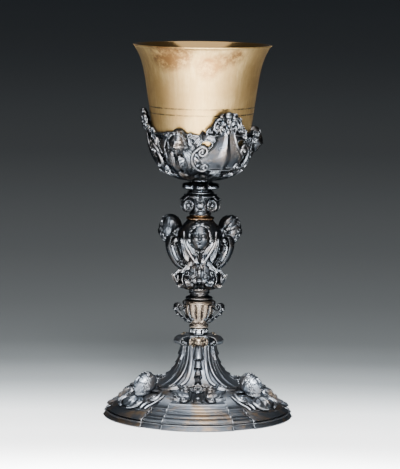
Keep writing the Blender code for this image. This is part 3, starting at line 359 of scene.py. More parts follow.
def shell(run, base, radius, spread, ribs, rise, lean=0.0, lift=0.0, drop=0.0, turn=0.0):
    """A ribbed fan with a ruffled edge, opening upwards from its base."""

    def spot(u, v):
        angle = spread * (2.0 * u - 1.0)
        rib = 0.5 + 0.5 * math.cos(math.tau * ribs * (u - 0.5))
        reach = radius * (SHELL_HUB + (1.0 - SHELL_HUB) * v) * (1.0 + 0.07 * rib * v)
        reach *= 1.0 - drop * abs(angle / spread) ** 2
        out = lift + rise * (0.25 + 0.75 * rib) * math.sin(math.pi * (0.12 + 0.70 * v)) + lean * v * v
        out += 0.4 * rise * math.sin(math.pi * 4.0 * v) * v
        return base[0] + reach * math.sin(angle + turn), base[1] + reach * math.cos(angle + turn), out

    return relief(run, ribs * 6, 14, spot, LEAF_SHEET)


def shared(table, share):
    """Reads a smooth value from evenly spaced ones."""
    spot = min(max(share, 0.0), 1.0) * (len(table) - 1)
    index = min(int(spot), len(table) - 2)
    part = spot - index
    part = part * part * (3.0 - 2.0 * part)
    return table[index] + (table[index + 1] - table[index]) * part


# Cherub heads: a calm child's face of ordinary proportions, in head widths

# Across, up, half width, half height and push of each feature, in shares of the half head
FACE = (
    (0.36, 0.21, 0.30, 0.10, 0.026),
    (0.38, 0.03, 0.20, 0.12, -0.056),
    (0.38, 0.00, 0.135, 0.075, 0.046),
    (0.38, 0.080, 0.17, 0.022, 0.014),
    (0.38, -0.075, 0.15, 0.020, 0.010),
    (0.00, -0.06, 0.09, 0.20, 0.036),
    (0.00, -0.28, 0.13, 0.085, 0.078),
    (0.14, -0.30, 0.07, 0.05, 0.030),
    (0.00, -0.40, 0.12, 0.035, -0.018),
    (0.00, -0.470, 0.20, 0.035, 0.030),
    (0.00, -0.520, 0.23, 0.020, -0.032),
    (0.00, -0.570, 0.16, 0.038, 0.032),
    (0.23, -0.51, 0.05, 0.05, -0.020),
    (0.00, -0.67, 0.18, 0.045, -0.018),
    (0.00, -0.83, 0.24, 0.14, 0.042),
    (0.52, -0.32, 0.28, 0.26, 0.042),
)
HEAD_HALF_WIDTH = 0.43
HEAD_HALF_DEPTH = 0.47
HEAD_HALF_HEIGHT = 0.58
HAIRLINE_RISE = -0.15
HAIRLINE_WIDTH = 0.88
HAIRLINE_HEIGHT = 0.78
CROWN = Vector((0.0, 0.62, 0.78))


def eased(value):
    value = min(max(value, 0.0), 1.0)
    return value * value * (3.0 - 2.0 * value)


def face_form():
    """The face and skull without hair."""
    form = bmesh.new()
    bmesh.ops.create_icosphere(form, subdivisions=6, radius=1.0)
    for vert in form.verts:
        x, y, z = vert.co
        jaw = eased((-z - 0.10) / 0.9)
        front = eased(-y * 1.4)
        push = 0.0
        for across, up, half_width, half_height, amount in FACE:
            away = ((abs(x) - across) / half_width) ** 2 + ((z - up) / half_height) ** 2
            if away < 9.0:
                push += amount * math.exp(-away)
        vert.co = Vector((x * HEAD_HALF_WIDTH * (1.0 - 0.26 * jaw),
                          y * HEAD_HALF_DEPTH * (1.0 - 0.16 * jaw) - push * front,
                          z * HEAD_HALF_HEIGHT))
    return form


def hair_share(direction):
    """0 on the face and 1 in the hair."""
    if direction.y > 0.35:
        return 1.0
    away = math.hypot(direction.x / HAIRLINE_WIDTH, (direction.z - HAIRLINE_RISE) / HAIRLINE_HEIGHT)
    return max(eased((away - 1.0) / 0.16), eased((direction.y + 0.10) / 0.3))


def hair_cap():
    """The hair close to the skull, combed from the crown in broad waves with fine strands."""
    form = bmesh.new()
    bmesh.ops.create_icosphere(form, subdivisions=6, radius=1.0)
    for vert in form.verts:
        direction = vert.co.normalized()
        share = hair_share(direction)
        around = math.atan2(direction.x, direction.z + 0.25)
        down = math.acos(min(max(direction.dot(CROWN), -1.0), 1.0))
        sweep = 7.0 * around + 2.6 * math.sin(3.2 * down) + 1.2 * math.sin(2.0 * around + 1.0)
        lock = abs(math.cos(0.5 * sweep)) ** 0.7 - 0.6
        strand = math.cos(5.0 * sweep + 3.0 * down)
        out = 0.90 + share * (0.185 + 0.085 * lock * min(2.0 * down, 1.0) + 0.008 * strand)
        vert.co = Vector((direction.x * HEAD_HALF_WIDTH, direction.y * HEAD_HALF_DEPTH,
                          direction.z * HEAD_HALF_HEIGHT)) * out
    return form


def hair_curl(direction, size, hand, turn):
    """One spiral curl that stands on the hair."""
    centre = Vector((direction.x * HEAD_HALF_WIDTH, direction.y * HEAD_HALF_DEPTH,
                     direction.z * HEAD_HALF_HEIGHT)) * 1.03
    outward = direction.normalized()
    level = outward.orthogonal().normalized()
    other = outward.cross(level)
    places = []
    widths = []
    count = 15
    for step in range(count):
        share = step / (count - 1)
        angle = turn + hand * share * math.tau * 1.35
        radius = size * (1.0 - 0.78 * share)
        places.append(centre + level * radius * math.cos(angle) + other * radius * math.sin(angle)
                      + outward * size * 0.40 * share)
        widths.append(size * (0.40 - 0.10 * share))
    return rod(places, [outward] * count, widths, widths, sides=7)


# Where curls stand out of the combed hair on one side: direction and size
CURLS = (((0.93, -0.28, 0.02), 0.105), ((0.95, -0.10, -0.30), 0.115), ((0.84, 0.10, -0.54), 0.105),
         ((0.80, -0.42, 0.36), 0.095), ((0.56, -0.58, 0.58), 0.090), ((0.22, -0.64, 0.74), 0.100))


def cherub_head():
    """A whole head one unit wide, facing the front, with its centre at the origin."""
    forms = [face_form(), hair_cap()]
    for index, (direction, size) in enumerate(CURLS):
        for hand in SIDES:
            place = Vector((hand * direction[0], direction[1], direction[2]))
            forms.append(hair_curl(place, size, hand, 1.3 * index))
    return gathered(forms)


def stored_head():
    """The cherub head's mesh, sculpted once and used for every cherub."""
    mesh = bpy.data.meshes.get("cherub_head_pattern")
    if mesh is None:
        mesh = bpy.data.meshes.new("cherub_head_pattern")
        form = cherub_head()
        form.to_mesh(mesh)
        form.free()
    head = bmesh.new()
    head.from_mesh(mesh)
    return head


def head_at(width, centre, tilt):
    pose = Matrix.Translation(centre) @ Matrix.Rotation(tilt, 4, "X") @ Matrix.Scale(width, 4)
    return posed(stored_head(), pose)


def feathers(run, root, hand, first, last, count, length, width, lift=0.0, bend=0.0):
    """A fan of feathers from one root, from a first angle to a last one, each over the one before."""
    forms = []
    for index in range(count):
        share = index / max(count - 1, 1)
        angle = hand * (first + (last - first) * share)
        base = (root[0] + hand * 0.10 * length * share, root[1] - 0.06 * length * index)
        forms.append(leaf(run, base, angle, length * (1.0 - 0.16 * share), width, bend=hand * bend,
                          rise=0.0005, lift=lift + 0.00022 * index, blunt=True))
    return forms


# Finishes

def node_of(tree, kind, place, **values):
    """A shader node with its settings and input values."""
    node = tree.nodes.new(kind)
    node.location = place
    for name, value in values.items():
        if name in node.inputs:
            node.inputs[name].default_value = value
        else:
            setattr(node, name, value)
    return node


def colour_ramp(tree, place, source, stops):
    """A ramp through (position, colour) stops."""
    node = tree.nodes.new("ShaderNodeValToRGB")
    node.location = place
    elements = node.color_ramp.elements
    while len(elements) < len(stops):
        elements.new(0.5)
    for element, (position, colour) in zip(elements, stops):
        element.position = position
        element.color = (*colour, 1.0)
    tree.links.new(source, node.inputs["Fac"])
    return node.outputs["Color"]


def ramp(tree, place, source, stops):
    """A grey ramp through (position, shade) stops."""
    return colour_ramp(tree, place, source, [(position, (shade, shade, shade)) for position, shade in stops])


def mixed(tree, place, share, first, second):
    """Mixes two colours by a share, each given as a colour or as another node's output."""
    node = node_of(tree, "ShaderNodeMix", place, data_type="RGBA")
    for socket, value in ((node.inputs[0], share), (node.inputs[6], first), (node.inputs[7], second)):
        if isinstance(value, bpy.types.NodeSocket):
            tree.links.new(value, socket)
        elif isinstance(value, float):
            socket.default_value = value
        else:
            socket.default_value = (*value, 1.0)
    return node.outputs[2]


def calculated(tree, place, operation, *values):
    """A sum, product or comparison of numbers and other nodes' outputs."""
    node = node_of(tree, "ShaderNodeMath", place, operation=operation)
    for socket, value in zip(node.inputs, values):
        if isinstance(value, bpy.types.NodeSocket):
            tree.links.new(value, socket)
        else:
            socket.default_value = value
    return node.outputs[0]


def ranged(tree, place, source, low, high, first=0.0, last=1.0):
    """Turns a source's run from low to high into one from first to last."""
    node = node_of(tree, "ShaderNodeMapRange", place)
    for name, value in zip(("From Min", "From Max", "To Min", "To Max"), (low, high, first, last)):
        node.inputs[name].default_value = value
    tree.links.new(source, node.inputs["Value"])
    return node.outputs["Result"]


def height_of(tree, place, coordinates):
    node = node_of(tree, "ShaderNodeSeparateXYZ", place)
    tree.links.new(coordinates, node.inputs[0])
    return node.outputs["Z"]


def shaded(colour, factor):
    return tuple(factor * part for part in colour)


def noise_at(tree, place, coordinates, scale, detail=4.0, roughness=0.6, distortion=0.0):
    node = node_of(tree, "ShaderNodeTexNoise", place, Scale=scale, Detail=detail, Roughness=roughness,
                   Distortion=distortion)
    tree.links.new(coordinates, node.inputs["Vector"])
    return node.outputs["Fac"]


def stretched(tree, place, coordinates, scale, location=(0.0, 0.0, 0.0)):
    node = node_of(tree, "ShaderNodeMapping", place, Scale=scale, Location=location)
    tree.links.new(coordinates, node.inputs["Vector"])
    return node.outputs["Vector"]


def new_finish(name):
    """An empty material, its tree, its shader and the object coordinates."""
    finish = bpy.data.materials.new(name)
    finish.use_nodes = True
    tree = finish.node_tree
    shader = tree.nodes["Principled BSDF"]
    coordinates = node_of(tree, "ShaderNodeTexCoord", (-1400, 0)).outputs["Object"]
    return finish, tree, shader, coordinates


def bumped(tree, shader, height, strength, distance):
    node = node_of(tree, "ShaderNodeBump", (-250, -400), Strength=strength, Distance=distance)
    tree.links.new(height, node.inputs["Height"])
    tree.links.new(node.outputs["Normal"], shader.inputs["Normal"])


# Heights on the foot: above the first pair the silver keeps its open colour and below it takes a painted
# shade, and below the second it has more gilding
FOOT_RIM_PAINTED_SHADE_HEIGHTS = (0.0135, 0.0172)
GILDING_TRACES = (0.030, 0.010)


def silver_finish(name, bright, body, shadow, warm, warm_share, rough, rim_painted_shade=1.0):
    """Cast silver: black in its hollows as oxide and painted shade, its edges lightened by wear and by a
    painted highlight, and the body given a painted shade on the foot's rim near the floor.
    """
    finish, tree, shader, coordinates = new_finish(name)
    # Oxide and painted shade: the hollows, the gaps between parts and what lies under overhangs are darkened
    # towards the hollow colour
    hollows = node_of(tree, "ShaderNodeAmbientOcclusion", (-1100, 300), samples=8, Distance=0.0045)
    open_share = ramp(tree, (-900, 300), hollows.outputs["AO"], ((0.26, 0.0), (0.86, 1.0)))
    edges = node_of(tree, "ShaderNodeNewGeometry", (-1100, 100)).outputs["Pointiness"]
    # Worn edges and painted highlight: the pointiness ramp lightens every sharp edge towards the edge colour
    worn = ramp(tree, (-900, 100), edges, ((0.515, 0.0), (0.64, 1.0)))
    patina = noise_at(tree, (-1100, -100), coordinates, 95.0, 5.0, 0.65)
    cloud = ramp(tree, (-900, -100), patina, ((0.36, 0.0), (0.66, 1.0)))
    traces = noise_at(tree, (-1100, -300), coordinates, 62.0, 6.0, 0.7, 0.6)
    traces = ramp(tree, (-900, -300), traces, ((0.48, 0.0), (0.64, 1.0)))
    above_floor = height_of(tree, (-1300, -700), coordinates)
    low_down = ranged(tree, (-1100, -700), above_floor, *GILDING_TRACES, warm_share, 2.0 * warm_share)
    gilding = calculated(tree, (-600, -250), "MULTIPLY", traces, low_down)
    # Painted shade: the body colour is darkened towards the floor on the foot's rim
    field = ranged(tree, (-850, -800), above_floor, *FOOT_RIM_PAINTED_SHADE_HEIGHTS)
    colour = mixed(tree, (-700, 200), cloud, shaded(body, 0.66), body)
    colour = mixed(tree, (-620, 200), field, shaded(body, rim_painted_shade), colour)
    colour = mixed(tree, (-550, 200), gilding, colour, warm)
    colour = mixed(tree, (-400, 200), worn, colour, bright)
    colour = mixed(tree, (-250, 200), open_share, shadow, colour)
    tree.links.new(colour, shader.inputs["Base Color"])
    shader.inputs["Metallic"].default_value = 0.97
    shader.inputs["Specular Tint"].default_value = (0.30, 0.32, 0.34, 1.0)
    roughness = ranged(tree, (-450, -100), patina, 0.0, 1.0, rough + 0.12, rough - 0.08)
    tree.links.new(roughness, shader.inputs["Roughness"])
    height = noise_at(tree, (-700, -500), coordinates, 420.0, 4.0)
    grain = noise_at(tree, (-1100, -500), coordinates, 1500.0, 3.0)
    grain = calculated(tree, (-600, -600), "MULTIPLY", grain, 0.35)
    bumped(tree, shader, calculated(tree, (-450, -450), "ADD", height, grain), 0.35, 0.0004)
    return finish


# Heights of the lines engraved round the cup, and half their width
ENGRAVED_LINES = (0.2172, 0.2128)
LINE_HALF_WIDTH = 0.0005

# Where brown patches have come up under the cup's lip, and how far each spreads
TARNISH_PATCHES = (((-0.028, -0.0350, 0.2540), 0.0140), ((-0.016, -0.0420, 0.2550), 0.0140),
                   ((-0.022, -0.0390, 0.2500), 0.0090), ((0.004, -0.0420, 0.2460), 0.0110),
                   ((0.013, -0.0410, 0.2500), 0.0080), ((0.022, -0.0370, 0.2540), 0.0080),
                   ((0.034, 0.0280, 0.2480), 0.0200), ((-0.040, 0.0180, 0.2420), 0.0180))


def cup_finish(name, pale, deep, tarnish, rough):
    """Worn gilding on the cup: pale, streaked upright, with brown patches under the lip."""
    finish, tree, shader, coordinates = new_finish(name)
    upright = stretched(tree, (-1200, 300), coordinates, (1.0, 1.0, 0.10))
    streaks = noise_at(tree, (-1000, 300), upright, 420.0, 5.0, 0.7)
    clouds = noise_at(tree, (-1000, 100), coordinates, 42.0, 6.0, 0.62, 0.4)
    specks = noise_at(tree, (-1000, -100), coordinates, 260.0, 5.0, 0.75)
    share = ramp(tree, (-850, 300), streaks, ((0.35, 0.0), (0.68, 1.0)))
    colour = mixed(tree, (-700, 300), share, pale, deep)
    share = ramp(tree, (-850, 100), clouds, ((0.42, 0.0), (0.66, 0.85)))
    colour = mixed(tree, (-550, 300), share, colour, deep)
    above_floor = height_of(tree, (-1200, -300), coordinates)
    line_specks = ramp(tree, (-850, 50), specks, ((0.34, 0.1), (0.54, 1.0)))
    # The engraved lines are coloured darker, about a fifth of the deep gilt, broken up by specks
    for height in ENGRAVED_LINES:
        band = calculated(tree, (-1000, -300), "COMPARE", above_floor, height, LINE_HALF_WIDTH)
        line = calculated(tree, (-700, -300), "MULTIPLY", band, line_specks)
        colour = mixed(tree, (-450, 300), line, colour, shaded(deep, 0.22))
    ragged = noise_at(tree, (-1000, -500), coordinates, 58.0, 4.0, 0.55, 0.8)
    ragged = ramp(tree, (-850, -100), ragged, ((0.26, 0.0), (0.40, 1.0)))
    speckled = ramp(tree, (-850, -350), specks, ((0.37, 0.35), (0.56, 1.0)))
    ragged = calculated(tree, (-650, -200), "MULTIPLY", ragged, speckled)
    for row, (centre, reach) in enumerate(TARNISH_PATCHES):
        level = -700 - 150 * row
        away = node_of(tree, "ShaderNodeVectorMath", (-1000, level), operation="DISTANCE")
        away.inputs[1].default_value = centre
        tree.links.new(coordinates, away.inputs[0])
        close = ranged(tree, (-850, level), away.outputs["Value"], reach, 0.55 * reach)
        patch = calculated(tree, (-500, level), "MULTIPLY", ragged, close)
        colour = mixed(tree, (-350, 300), patch, colour, tarnish)
    # Tarnish and painted shade: the hollows and the cup where the calyx closes round it are darkened towards
    # dark tarnish
    hollows = node_of(tree, "ShaderNodeAmbientOcclusion", (-1000, 500), samples=8, Distance=0.004)
    open_share = ramp(tree, (-850, 500), hollows.outputs["AO"], ((0.2, 0.35), (0.85, 1.0)))
    colour = mixed(tree, (-200, 300), open_share, shaded(tarnish, 0.25), colour)
    # Painted shade: the inside wall of the cup is darkened, and it is also made smoother
    outwards = node_of(tree, "ShaderNodeVectorMath", (-1000, 700), operation="DOT_PRODUCT")
    normal = node_of(tree, "ShaderNodeNewGeometry", (-1200, 800)).outputs["Normal"]
    tree.links.new(stretched(tree, (-1200, 700), coordinates, (1.0, 1.0, 0.0)), outwards.inputs[0])
    tree.links.new(normal, outwards.inputs[1])
    inside_painted_shade = calculated(tree, (-850, 700), "LESS_THAN", outwards.outputs["Value"], 0.0)
    colour = mixed(tree, (-100, 300), inside_painted_shade, colour, shaded(deep, 0.25))
    tree.links.new(colour, shader.inputs["Base Color"])
    shader.inputs["Metallic"].default_value = 0.9
    roughness = ranged(tree, (-450, -100), clouds, 0.0, 1.0, rough - 0.04, rough + 0.10)
    polish = calculated(tree, (-450, -250), "MULTIPLY", inside_painted_shade, 0.18)
    roughness = calculated(tree, (-250, -100), "SUBTRACT", roughness, polish)
    tree.links.new(roughness, shader.inputs["Roughness"])
    bumped(tree, shader, streaks, 0.10, 0.0002)
    return finish


def steel_finish(name, colour):
    """Turned steel with fine tool rings."""
    finish, tree, shader, coordinates = new_finish(name)
    rings = noise_at(tree, (-900, 0), stretched(tree, (-1100, 0), coordinates, (0.05, 0.05, 1.0)), 3000.0,
                     2.0)
    tree.links.new(mixed(tree, (-400, 100), rings, shaded(colour, 0.6), colour),
                   shader.inputs["Base Color"])
    shader.inputs["Metallic"].default_value = 1.0
    shader.inputs["Roughness"].default_value = 0.42
    bumped(tree, shader, rings, 0.25, 0.0001)
    return finish


def finish_of(slot):
    """The material of a slot, made the first time it is asked for."""
    name = f"{slot}_finish"
    found = bpy.data.materials.get(name)
    if found:
        return found
    colours = bpy.context.scene.chalice_colours
    if slot == "gilt_cup":
        return cup_finish(name, tuple(colours.pale_gilt), tuple(colours.deep_gilt), tuple(colours.tarnish),
                          0.32)
    if slot == "screw_steel":
        return steel_finish(name, tuple(colours.steel))
    silver, rubbed = tuple(colours.silver), tuple(colours.rubbed_silver_and_glint)
    hollow, trace = tuple(colours.hollow_oxide_and_shade), tuple(colours.gilding_trace)
    # Painted light: lit copies of the oxidised silver, several times lighter and with lighter hollows, for
    # the foot, its straps and panels and the lobe cherubs
    light, soft = shaded(silver, 6.6), shaded(hollow, 2.8)
    gilt = tuple(colours.worn_gilt)
    # The first colour of each casting goes on its sharp edges: real wear and also a painted highlight
    castings = {
        "oxidised_silver": (rubbed, silver, hollow, trace, 0.45, 0.27),
        "bright_silver": (rubbed, shaded(rubbed, 2.2), hollow, trace, 0.15, 0.18),
        "painted_lit_silver": (shaded(rubbed, 2.3), shaded(light, 0.85), hollow, trace, 0.45, 0.30),
        "strap_painted_lit_silver": (shaded(rubbed, 1.3), shaded(light, 0.5), soft, trace, 0.5, 0.33),
        "foot_painted_lit_silver": (shaded(rubbed, 2.0), light, soft, trace, 0.55, 0.38, 0.20),
        "worn_gilt": (tuple(colours.cream_gilt_and_glint), gilt, hollow, trace, 0.6, 0.26),
        "copper_neck": (gilt, tuple(colours.tarnish), hollow, trace, 0.3, 0.24),
    }
    return silver_finish(name, *castings[slot])


def add_piece(name, form, slot, node, body="root", finish=None):
    """A finished piece in its place, which stands for its node in the frame."""
    mesh = bpy.data.meshes.new(name)
    form.to_mesh(mesh)
    form.free()
    mesh.materials.append(finish_of(finish or slot))
    mesh.shade_smooth()
    mesh.set_sharp_from_angle(angle=SMOOTH_ANGLE)
    obj = bpy.data.objects.new(name, mesh)
    bpy.context.scene.collection.objects.link(obj)
    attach(obj, body)
    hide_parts(node)
    return obj


def add_repeated(name, form, slot, node, azimuth, finish=None):
    """The same casting at its azimuth and at each third of a turn from it."""
    for number in range(REPEATS):
        turn = Matrix.Rotation(azimuth + number * THIRD, 4, "Z")
        add_piece(f"{name}_{number + 1}", posed(form.copy(), turn), slot, f"{node}_{number + 1}",
                  finish=finish)
    form.free()


# The foot

PLINTH_FLARE = 0.0016
FOOT_RADIUS = -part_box("foot_plinth")[0].y - PLINTH_FLARE
FOOT_HEIGHT = top("foot_dome")
FOOT_BASE = seat("foot_dome")
FIELD_HEIGHT = 0.0162
MOULDING_WIDTH = 0.0126
STEM_RADIUS = 0.0100
ROD_BORE = 0.0027
FOOT_SHEET = 0.0013
STEM_CEILING = 0.0032
PLINTH_WALL = 0.0016
WING_DROP = 0.0037
LOBE_DROP = 0.0030
DROP_INNER_RADIUS = 0.0400
BAY_HALF_ANGLE = math.radians(22.0)
WING_HALF_ANGLE = math.radians(36.5)
STEP_ANGLE = math.radians(0.6)
BAY_SETBACK = 0.0004
WING_SETBACK = 0.0014
LOBE_SETBACK = 0.0002
BAY_COLUMNS = 18
WING_COLUMNS = 7
LOBE_COLUMNS = 14
JOINT_FILLET = 0.00042

# The bay's mouldings from the field down, as radius inside the foot's edge and height
BAY_MOULDING = ((0.0121, 0.01640), (0.0117, 0.01620), (0.0116, 0.0157), (0.0118, 0.0152), (0.0117, 0.0146),
                (0.0114, 0.0139), (0.0111, 0.0134), (0.0106, 0.0132), (0.0102, 0.0134), (0.0097, 0.0134),
                (0.0090, 0.0129), (0.0085, 0.0121), (0.0084, 0.0113), (0.0084, 0.0106), (0.0080, 0.0101),
                (0.0073, 0.0100), (0.0069, 0.0098), (0.0059, 0.0095), (0.0056, 0.0092), (0.0049, 0.0091),
                (0.0045, 0.0087), (0.0044, 0.0082), (0.0040, 0.0079), (0.0030, 0.0077), (0.0018, 0.0071),
                (0.0009, 0.0063), (0.0004, 0.0053), (0.0006, 0.0046))
MOULDING_LINING = ((0.0074, 0.0079), (0.0123, 0.0124))

# The plain slope of a lobe, from its rim to its field, as radius and height
SLOPE_RIM = (FOOT_RADIUS - 0.0004, 0.0053)
SLOPE_TOP = (FOOT_RADIUS - 0.0118, 0.0160)


def field_point(share):
    """A point of the foot's upper surface, from its edge moulding at 0 to the stem's top at 1."""
    outer = FOOT_RADIUS - MOULDING_WIDTH
    radius = STEM_RADIUS + (outer - STEM_RADIUS) * (1.0 - share) ** 1.65
    climb = 0.36 * share + 0.64 * share**4.2
    return radius, FIELD_HEIGHT + (FOOT_HEIGHT - FIELD_HEIGHT) * climb


FOOT_RUN = Run([field_point(step / 60.0) for step in range(61)])


def plan_columns():
    """Azimuth, setback and share of the lobe for each column of the foot, from a bay to a lobe."""
    columns = []
    for step in range(BAY_COLUMNS + 1):
        share = step / BAY_COLUMNS
        columns.append((BAY_HALF_ANGLE * share, BAY_SETBACK * share**2, -1.0))
    for step in range(WING_COLUMNS + 1):
        start = BAY_HALF_ANGLE + STEP_ANGLE
        columns.append((start + (WING_HALF_ANGLE - start) * step / WING_COLUMNS, WING_SETBACK, -1.0))
    for step in range(LOBE_COLUMNS + 1):
        share = step / LOBE_COLUMNS
        start = WING_HALF_ANGLE + STEP_ANGLE
        columns.append((start + (THIRD / 2.0 - start) * share, LOBE_SETBACK * (1.0 - share) ** 2, share))
    return columns


PLAN = plan_columns()
HALF_STEPS = len(PLAN) - 1
PLAN_STEPS = 2 * HALF_STEPS * REPEATS


def lowered(radius, height, drop):
    """A height of the foot's profile where it lies lower than a bay, by most at the field's edge."""
    out = eased((radius - DROP_INNER_RADIUS) / (FOOT_RADIUS - MOULDING_WIDTH - DROP_INNER_RADIUS))
    up = min(max((height - FOOT_BASE) / (FIELD_HEIGHT - FOOT_SHEET - FOOT_BASE), 0.0), 1.0)
    return height - drop * up * out


def lobe_height(radius, height):
    """The height of a lobe where a bay has that radius and height: plain, with three fine lines."""
    share = (SLOPE_RIM[0] - radius) / (SLOPE_RIM[0] - SLOPE_TOP[0])
    if height > FOOT_BASE + 0.0002 and -0.1 < share < 1.1:
        plain = SLOPE_RIM[1] + (SLOPE_TOP[1] - SLOPE_RIM[1]) * min(max(share, 0.0), 1.0)
        if abs(height - plain) < 0.0019:
            line = max(math.cos(math.tau * (share - 0.16) / 0.11), 0.0) if 0.10 < share < 0.44 else 0.0
            height = plain - 0.00035 * line
    return lowered(radius, height, LOBE_DROP)


def lobe_profile():
    points = [SLOPE_RIM, SLOPE_TOP] + [field_point(step / 60.0) for step in range(61)]
    return [(radius, lobe_height(radius, height)) for radius, height in points]


LOBE_RUN = Run(lobe_profile())


def foot_plan(form, shaped=True):
    """Moves a turned form on to the foot's lobed and stepped plan."""
    field_radius = FOOT_RADIUS - MOULDING_WIDTH
    for vert in form.verts:
        radius = math.hypot(vert.co.x, vert.co.y)
        index = round(math.atan2(vert.co.x, -vert.co.y) % math.tau / math.tau * PLAN_STEPS) % PLAN_STEPS
        sector, column = divmod(index, 2 * HALF_STEPS)
        mirrored = column > HALF_STEPS
        azimuth, setback, lobe = PLAN[2 * HALF_STEPS - column if mirrored else column]
        turn = (sector + mirrored) * THIRD + (-azimuth if mirrored else azimuth)
        edge = min(max((radius - 0.7 * field_radius) / (FOOT_RADIUS - 0.7 * field_radius), 0.0), 1.0)
        height = vert.co.z
        if shaped and lobe >= 0.0:
            height = lobe_height(radius, height)
        elif shaped and azimuth > BAY_HALF_ANGLE:
            height = lowered(radius, height, WING_DROP)
        vert.co = round_axis(radius - setback * edge, turn, height)
    return form


def joint_fillets(points):
    """Fine upright edges where a bay meets its wings and a wing its lobe, down (radius, height) points."""
    forms = []
    for azimuth, drop in ((BAY_HALF_ANGLE, 0.0), (WING_HALF_ANGLE, WING_DROP)):
        for hand in SIDES:
            places = [round_axis(radius, hand * azimuth, lowered(radius, height, drop))
                      for radius, height in points]
            ups = [round_axis(1.0, hand * azimuth, 0.5).normalized()] * len(places)
            thick = [JOINT_FILLET] * len(places)
            forms.append(rod(places, ups, thick, thick, sides=8))
    return thirds(gathered(forms))


def raised_foot():
    """The hollow foot, its bays stepped with mouldings."""
    outline = [(ROD_BORE, FOOT_HEIGHT)] + [field_point(1.0 - step / 44.0) for step in range(45)]
    outline += smoothed([(FOOT_RADIUS - inside, height) for inside, height in BAY_MOULDING], 1)
    outline += [(FOOT_RADIUS - PLINTH_WALL, FOOT_BASE)]
    lining = FOOT_RUN.pushed(-FOOT_SHEET).points
    outline += [(FOOT_RADIUS - inside, height) for inside, height in MOULDING_LINING]
    outline += [tuple(lining[index]) for index in range(0, 52, 6)]
    ceiling = FOOT_HEIGHT - STEM_CEILING
    outline += [(lining[-1].x, ceiling), (ROD_BORE, ceiling)]
    fillets = joint_fillets([(FOOT_RADIUS - inside, height) for inside, height in BAY_MOULDING[2:]])
    return gathered([foot_plan(spun(outline, PLAN_STEPS))] + fillets)


def plinth_strip():
    """The leaning strip under the foot, with a fine bead at its top and a rolled lower edge."""
    height = top("foot_plinth")
    low = FOOT_RADIUS + PLINTH_FLARE
    outline = [(FOOT_RADIUS - PLINTH_WALL, height), (FOOT_RADIUS - 0.0005, height),
               (FOOT_RADIUS, height - 0.0002), (FOOT_RADIUS + 0.0002, height - 0.0006),
               (FOOT_RADIUS, height - 0.0010), (low - 0.0005, 0.0012), (low - 0.0001, 0.0009),
               (low, 0.0005), (low - 0.0002, 0.0), (low - PLINTH_WALL, 0.0)]
    fillets = joint_fillets(outline[3:7] + [(low - 0.0001, JOINT_FILLET)])
    return gathered([foot_plan(spun(outline, PLAN_STEPS), shaped=False)] + fillets)


RIB_TOP = FOOT_HEIGHT - 0.0070
RIB_FOOT_RADIUS = FOOT_RADIUS - 0.0375
RIB_TOP_WIDTH = 0.0085
RIB_FOOT_WIDTH = 0.0180


def foot_strap(wire):
    """A hollow strap down the stem between two rolled edges that end in volutes, under a console."""
    low = FOOT_RUN.in_to(RIB_FOOT_RADIUS)
    high = FOOT_RUN.up_to(RIB_TOP)

    def half_width(share):
        return 0.5 * (RIB_FOOT_WIDTH + (RIB_TOP_WIDTH - RIB_FOOT_WIDTH) * share**0.8)

    def spot(u, v):
        side = 2.0 * u - 1.0
        out = 0.0006 + 0.0012 * side * side + 0.0007 * max(1.0 - abs(side) * 4.0, 0.0)
        tongue = 0.0045 * (1.0 - side * side) * (1.0 - v)
        return side * half_width(v), low + (high - low) * v - tongue, out

    forms = [relief(FOOT_RUN, 20, 30, spot, 0.0012)]
    for hand in SIDES:
        edge = []
        for step in range(9):
            share = 1.0 - step / 8.0
            edge.append((hand * half_width(share), low + (high - low) * share))
        eye = (hand * (half_width(0.0) + 0.0026), low - 0.0006)
        edge.append((hand * (half_width(0.0) - 0.0002), low - 0.0022))
        forms.append(laid_scroll(FOOT_RUN, edge, wire, (None, eye), lift=0.0004, thin=0.85))
        inner = [(across - hand * 0.0030, distance) for across, distance in edge[:-2]]
        forms.append(laid_scroll(FOOT_RUN, inner, 0.45 * wire, lift=0.0005, thin=0.8))
        tongue = beside(hand, low, (0.0020, -0.0060), (0.0100, -0.0072), (0.0165, -0.0040), (0.0175, 0.0016),
                        (0.0150, 0.0044))
        forms.append(laid_scroll(FOOT_RUN, tongue, 0.75 * wire, lift=0.0, thin=0.6))
        forms.append(leaf(FOOT_RUN, (hand * 0.0112, low - 0.0055), hand * 1.0, 0.0085, 0.0050,
                          bend=-hand * 0.7, lobes=3, rise=0.0009))
    stem = above(FOOT_HEIGHT, (0.0102, -0.0006), (0.0125, -0.0001), (0.0152, -0.0008), (0.0170, -0.0026))
    eye = (0.0152, FOOT_HEIGHT - 0.0040)
    forms.append(standing_scroll(stem, 0.0009, 0.0048, (None, eye), turns=0.9))
    hood = above(FOOT_HEIGHT, (0.0098, -0.0075), (0.0118, -0.0062), (0.0136, -0.0048))
    forms.append(standing_scroll(hood, 0.0010, 0.0036))
    forms.append(leaf(FOOT_RUN, (0.0, high + 0.0020), math.pi, 0.0130, 0.0052, lobes=4, rise=0.0010,
                      lift=0.0006))
    return gathered(forms)


HUSK_SHARES = (0.0, 0.33, 0.56, 0.78, 1.0)
HUSK_SIZES = (1.0, 0.90, 0.84, 0.74)


